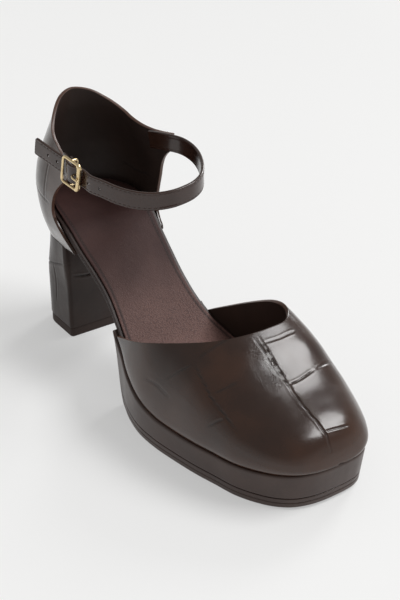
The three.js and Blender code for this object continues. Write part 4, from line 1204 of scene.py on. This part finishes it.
# %% The strap's path
# along, across, height
STRAP = [
    (0.205, 0.282, 0.725), (0.234, 0.296, 0.745), (0.267, 0.318, 0.758), (0.299, 0.348, 0.760),
    (0.331, 0.357, 0.752), (0.364, 0.343, 0.741), (0.396, 0.310, 0.728), (0.428, 0.258, 0.717),
    (0.455, 0.193, 0.706), (0.471, 0.111, 0.695), (0.475, 0.030, 0.684), (0.473, -0.057, 0.675),
    (0.460, -0.148, 0.668), (0.433, -0.230, 0.666), (0.396, -0.298, 0.675), (0.360, -0.343, 0.692),
]
strap_width, strap_thickness = 10.4 * MM, 1.8 * MM
buckle_length, buckle_height = 15 * MM, 17 * MM
bar_radius, front_bar_radius, prong_radius = 0.8 * MM, 1.3 * MM, 0.6 * MM
hole_radius, hole_pitch = 0.95 * MM, 9 * MM
tab_thickness, tab_width = 1.0 * MM, 6.2 * MM
strap_hump, bar_clear, ease = 1.9 * MM, 0.3 * MM, 0.25 * MM
strap_steps, tab_steps = 2400, 1200


def strap_place(row):
    return np.array([row[0] * foot_length, row[1] * ball_width, heel_rim + row[2] * cup_height])


buckle_middle = strap_place((0.273, -0.400, 0.728))
tail_end = strap_place((0.145, -0.461, 0.798))
tail_reach = np.linalg.norm(tail_end - buckle_middle)
back_axis = (tail_end - buckle_middle) / tail_reach
out_axis = np.cross([0, 0, 1], back_axis)
out_axis *= -np.sign(out_axis[1]) / np.linalg.norm(out_axis)
up_axis = np.cross(out_axis, back_axis)
up_axis *= np.sign(up_axis[2])
half_thick = strap_thickness / 2
rear_bar_out = half_thick + gap + ease + bar_radius
centre_bar_out = strap_hump - half_thick - gap - ease - tab_thickness - bar_clear - bar_radius
front_dip = rear_bar_out - front_bar_radius - gap - ease - half_thick


def on_buckle(u, w, n):
    """A place by the buckle: u back along the strap, w up across it, n out of the shoe, in mm."""
    return buckle_middle + (u * back_axis + w * up_axis + n * out_axis) * MM


dip, hump, end_u = front_dip / MM, strap_hump / MM, buckle_length / MM / 2
strap_points = [strap_place(row) for row in STRAP]
for u, n in ((-14, -0.1), (-end_u - 1.2, dip), (-end_u + 1.4, dip + 0.1), (-1.6, hump), (1.6, hump),
             (end_u - 1.4, 0.1), (end_u + 1.2, 0), (tail_reach / MM * 0.55, 0.2),
             (tail_reach / MM * 0.8, 0.1), (tail_reach / MM, 0)):
    strap_points.append(on_buckle(u, 0, n))
strap_path = even(spline(strap_points, strap_steps), strap_steps)
strap_total = np.linalg.norm(np.diff(strap_path, axis=0), axis=1).sum()


def frame_at(path, index, upright=(0.0, 0.0, 1.0)):
    """A place on a path, and the directions along it, out of it and up across it."""
    along = path[min(index + 2, len(path) - 1)] - path[max(index - 2, 0)]
    along /= np.linalg.norm(along)
    out = np.cross(upright, along)
    out /= np.linalg.norm(out)
    return path[index], along, out, np.cross(along, out)


print("strap", round(strap_total / MM, 1), "mm long")

# %% [markdown]
# The band's section is a flat strip with round edges and a faint groove where it is sewn. It is laid
# along the path and ends in a small square tip. Its holes are punched last, two in the tail behind
# the buckle and two in front of it.

# %% Lay the strap
def band(name, path, width, thickness, indices, corner, narrow, upright=(0.0, 0.0, 1.0), stitched=0.0):
    """A flat strip with round edges along a path. narrow gives its share of the width at each place."""
    rings, reach = [], width / 2 - corner
    for index in indices:
        centre, along, out, up = frame_at(path, index, upright)
        ring, share = [], narrow(index)
        for side in (-1, 1):
            for b in np.linspace(-1, 1, 25) * side:
                from_seam = (abs(b) * reach - (width / 2 - seam_inset)) / (0.35 * MM)
                ring.append((side * (thickness / 2 - stitched * math.exp(-from_seam ** 2)), b * reach))
            for t in np.linspace(0, math.pi, 9)[1:-1]:
                ring.append((side * (thickness / 2) * math.cos(t), side * (reach + corner * math.sin(t))))
        rings.append([centre + out * o + up * b * share for o, b in ring])
    return laid_roll(name, np.array(rings))


def tip_shape(index):
    left = strap_total * (1 - index / strap_steps)
    round_tip = 0.9 * MM
    if left >= round_tip:
        return 1.0
    cut = 1 - math.sqrt(max(1 - (1 - left / round_tip) ** 2, 0))
    return 1 - cut * round_tip / (strap_width / 2)


strap_indices = sorted(set(np.linspace(0, strap_steps, 420).astype(int))
                       | set(range(strap_steps - 20, strap_steps + 1, 2)))
strap = band("ankle_strap_band", strap_path, strap_width, strap_thickness, strap_indices, 0.6 * MM,
             tip_shape, stitched=0.14 * MM)


def drilled(piece, start, end, radius):
    middle, axis = Vector((start + end) / 2 + shift), Vector(end - start)
    bpy.ops.mesh.primitive_cylinder_add(vertices=28, radius=radius, depth=axis.length, location=middle,
                                        rotation=axis.to_track_quat("Z", "Y").to_euler())
    drill = bpy.context.object
    apply(piece, "BOOLEAN", object=drill, operation="DIFFERENCE", solver="EXACT")
    bpy.data.objects.remove(drill)


for step in (1.45, 2.3):
    u = step * hole_pitch / MM
    drilled(strap, on_buckle(u, 0, -1.6), on_buckle(u, 0, 3), hole_radius)
front_of_buckle = strap_total - tail_reach - 0.6 * MM
for step in (1.5, 2.4):
    at = int(round((front_of_buckle - step * hole_pitch) / strap_total * strap_steps))
    centre, along, out, up = frame_at(strap_path, at)
    drilled(strap, centre - out * strap_thickness, centre + out * strap_thickness, hole_radius)
dress(strap, "ankle_strap", "strap_leather", strap_leather, angle=40)

# %% [markdown]
# The tab is a short loop of leather. It holds the buckle's middle bar in its fold, and its two legs
# lie on the inside and on the outside of the wing's end. It is the same kind of band as the strap.

# %% Buckle tab
def wall_at(x, offset, sunk=0.0):
    """A place beside the lateral wing, level with the buckle's middle bar or sunk below it."""
    bar = on_buckle(0, 0, centre_bar_out / MM)
    wall_y = -float(cup_width(-1, np.array(x), np.array(bar[2])))
    return np.array([x, wall_y + offset, bar[2] + (bar[0] - x) * 0.05 - sunk])


lateral_end = 60 * MM
bar_n = centre_bar_out / MM
turn = (bar_radius + bar_clear + tab_thickness / 2) / MM
outside_at = -gap - tab_thickness / 2 - 0.55 * MM
inside_at = leather + gap + tab_thickness / 2 + 0.35 * MM
sunk = 2.2 * MM
tab_points = [wall_at(lateral_end + x * MM, inside_at + offset * MM, sunk)
              for x, offset in ((-11, 0), (-5, 0), (0.4, 0.45))]
tab_points += [on_buckle(u, w, n) for u, w, n in (
    (2.0, -1.8, bar_n - turn - 0.3), (0, -1.2, bar_n - turn), (-turn * 0.75, -0.7, bar_n - turn * 0.7),
    (-turn, -0.3, bar_n), (-turn * 0.75, 0, bar_n + turn * 0.7), (0, 0, bar_n + turn),
    (2.2, 0, bar_n + turn * 0.8))]
tab_points += [wall_at(lateral_end + x * MM, outside_at + offset * MM)
               for x, offset in ((0.2, -0.25), (-5, 0), (-11, 0))]
tab_path = even(spline(tab_points, tab_steps), tab_steps)
tab_indices = np.linspace(0, tab_steps, 150).astype(int)


def tab_shape(index):
    """The leg inside the wing is narrower, so that it stays hidden behind the strap."""
    return 0.62 + 0.38 * float(np.clip((index - 420) / 220, 0, 1))


tab = band("buckle_tab_loop", tab_path, tab_width, tab_thickness, tab_indices, 0.4 * MM, tab_shape, up_axis)
drilled(tab, on_buckle(-4.5, 0, bar_n), on_buckle(3.4, 0, bar_n), 2.8 * MM)
dress(tab, "buckle_tab", "strap_leather", strap_leather, angle=40)

# %% [markdown]
# ## The buckle
# A rounded frame of brass wire with a thick front bar, a middle bar set lower, and a prong that
# hinges on the middle bar and rests on the front one.

# %% Buckle frame and prong
def tube(name, path, radii, closed=False, sides=18):
    """A round wire along a path, with its own radius at each point."""
    rings, count = [], len(path)
    for i in range(count):
        before, after = (path[k % count if closed else min(max(k, 0), count - 1)] for k in (i - 1, i + 1))
        along = (after - before) / np.linalg.norm(after - before)
        first = np.cross(along, out_axis)
        if np.linalg.norm(first) < 0.3:
            first = np.cross(along, up_axis)
        first /= np.linalg.norm(first)
        second = np.cross(along, first)
        angles = np.linspace(0, 2 * np.pi, sides + 1)[:-1]
        round_it = np.cos(angles)[:, None] * first + np.sin(angles)[:, None] * second
        rings.append(path[i] + radii[i] * round_it)
    return laid_roll(name, np.array(rings), hoop=closed)


def joined(name, *parts):
    alone(*parts)
    bpy.ops.object.join()
    parts[0].name = name
    return parts[0]


rear_n = rear_bar_out / MM
rear_u, up_w = end_u - 0.8, buckle_height / MM / 2 - 0.8
outline = rounded([(-rear_u, -up_w), (-rear_u, up_w), (rear_u, up_w), (rear_u, -up_w)], [2.4] * 4, 12)
outline = even(np.array(outline + [outline[0]]), 220)[:-1]
frame_path = np.array([on_buckle(u, w, rear_n) for u, w in outline])
thick = np.clip((-outline[:, 0] - (rear_u - 2.6)) / 2.2, 0, 1)
frame_radii = bar_radius + (front_bar_radius - bar_radius) * soft(thick)
loop = tube("buckle_loop", frame_path, frame_radii, closed=True)
bar = [(up_w, rear_n), (up_w, bar_n), (-up_w, bar_n), (-up_w, rear_n)]
bend_steps = 8
bends = rounded(bar, [0.0, 1.4, 1.4, 0.0], bend_steps)[bend_steps + 1:3 * (bend_steps + 1)]
bar_line = even(np.array([np.array(bar[0])] + bends + [np.array(bar[3])]), 90)
bar_path = np.array([on_buckle(0, w, n) for w, n in bar_line])
middle_bar = tube("middle_bar", bar_path, np.full(len(bar_path), bar_radius))
buckle = joined("buckle_frame_wire", loop, middle_bar)
dress(buckle, "buckle_frame", "buckle_brass", brass, angle=60)

rest_n = (rear_bar_out + front_bar_radius + prong_radius) / MM + 0.25
eye_radius, prong_length = 1.6, 12
prong_points = [on_buckle(-0.8 - 0.25 - 0.6, 0, bar_n), on_buckle(-2.0, 0, hump - 0.9),
                on_buckle(-2.7, 0, hump + 1.5), on_buckle(-4.4, 0, rest_n),
                on_buckle(-end_u - 1.4, 0, rest_n + 0.1)]
prong_path = even(spline(prong_points, 300), 90)
to_tip = np.linspace(1, 0, len(prong_path)) * prong_length
prong_radii = prong_radius * np.sqrt(np.clip(1 - (1 - np.clip(to_tip / 0.6, 0, 1)) ** 2, 0.01, 1))
pin = tube("prong_pin", prong_path, prong_radii)
circle = np.linspace(0, 2 * np.pi, 61)[:-1]
eye_path = np.array([on_buckle(eye_radius * math.cos(t), 0, bar_n + eye_radius * math.sin(t))
                     for t in circle])
eye = tube("prong_eye", eye_path, np.full(len(eye_path), prong_radius), closed=True)
prong = joined("buckle_prong_wire", pin, eye)
dress(prong, "buckle_prong", "buckle_brass", brass, angle=60)

# %% [markdown]
# ## Sewing
# Every seam is a row of one small stitch, set along a line at an even pitch and sunk into the hide:
# along both edges of the strap, inside the edge of the sock, and up the ends of the wings.

# %% Stitches
def stitched_row(name, centres, directions, slot, length=2.0 * MM):
    """Copies of one small stitch, each lying along its own direction."""
    thickness = 0.34 * MM
    bpy.ops.object.select_all(action="DESELECT")
    bpy.ops.mesh.primitive_uv_sphere_add(segments=7, ring_count=5, radius=0.5)
    pattern = bpy.context.object
    points = points_of(pattern)
    faces = [list(face.vertices) for face in pattern.data.polygons]
    bpy.data.objects.remove(pattern)
    everything, shown = [], []
    for centre, direction in zip(centres, directions):
        along = Vector(direction).normalized()
        turned = np.array(along.to_track_quat("Z", "Y").to_matrix())
        start = len(everything) * len(points)
        everything.append((points * [thickness, thickness, length]) @ turned.T + centre + shift)
        shown += [[start + k for k in face] for face in faces]
    made = bpy.data.meshes.new(name)
    made.from_pydata(np.concatenate(everything), [], shown)
    row = bpy.data.objects.new(name, made)
    scene.collection.objects.link(row)
    dress(row, None, slot, sewing_thread, angle=80)
    print("  ", len(everything), "stitches")


centres, directions = [], []
pitch, ankle_middle = 2.7 * MM, np.array([0.075, 0, 0.12])
for edge in (-1, 1):
    for distance in np.arange(21 * MM, strap_total - 3 * MM, pitch):
        centre, along, out, up = frame_at(strap_path, int(distance / strap_total * strap_steps))
        if abs(np.dot(centre - buckle_middle, back_axis)) < 9 * MM and centre[1] < 0:
            continue
        outer = out * np.sign(np.dot(out, centre - ankle_middle))
        centres.append(centre + outer * (half_thick - 0.06 * MM)
                       + up * edge * (strap_width / 2 - seam_inset))
        directions.append(along)
stitched_row("strap_stitches", centres, directions, "strap_leather")

centres, directions = [], []
for side in (-1, 1):
    x = np.linspace(12, 200, 1200) * MM
    line = side * ((edge_medial(x) if side > 0 else edge_lateral(x)) - sock_inset - sewn)
    line = even(np.column_stack([x, line, seat(x)]), 90)
    for i in range(1, 90):
        centres.append(line[i] - [0, 0, 0.1 * MM])
        directions.append(line[i + 1] - line[i - 1])
stitched_row("sock_stitches", centres, directions, "sock", length=1.5 * MM)

centres, directions = [], []
for side, places, low, high in ((1, (60.6, 63.4), 121.6, 129.6), (-1, (50.0, 56.4), 119.4, 125.4)):
    for x in places:
        for z in np.linspace(low, high, 5):
            at = [np.array(v * MM) for v in (x, z)]
            on_cup = cup_point(side * cup_turned(*at), at[1])
            centres.append(on_cup + [0, side * 0.02 * MM, 0])
            directions.append((0.0, 0.0, 1.0))
stitched_row("wing_stitches", centres, directions, "upper_leather", length=1.5 * MM)
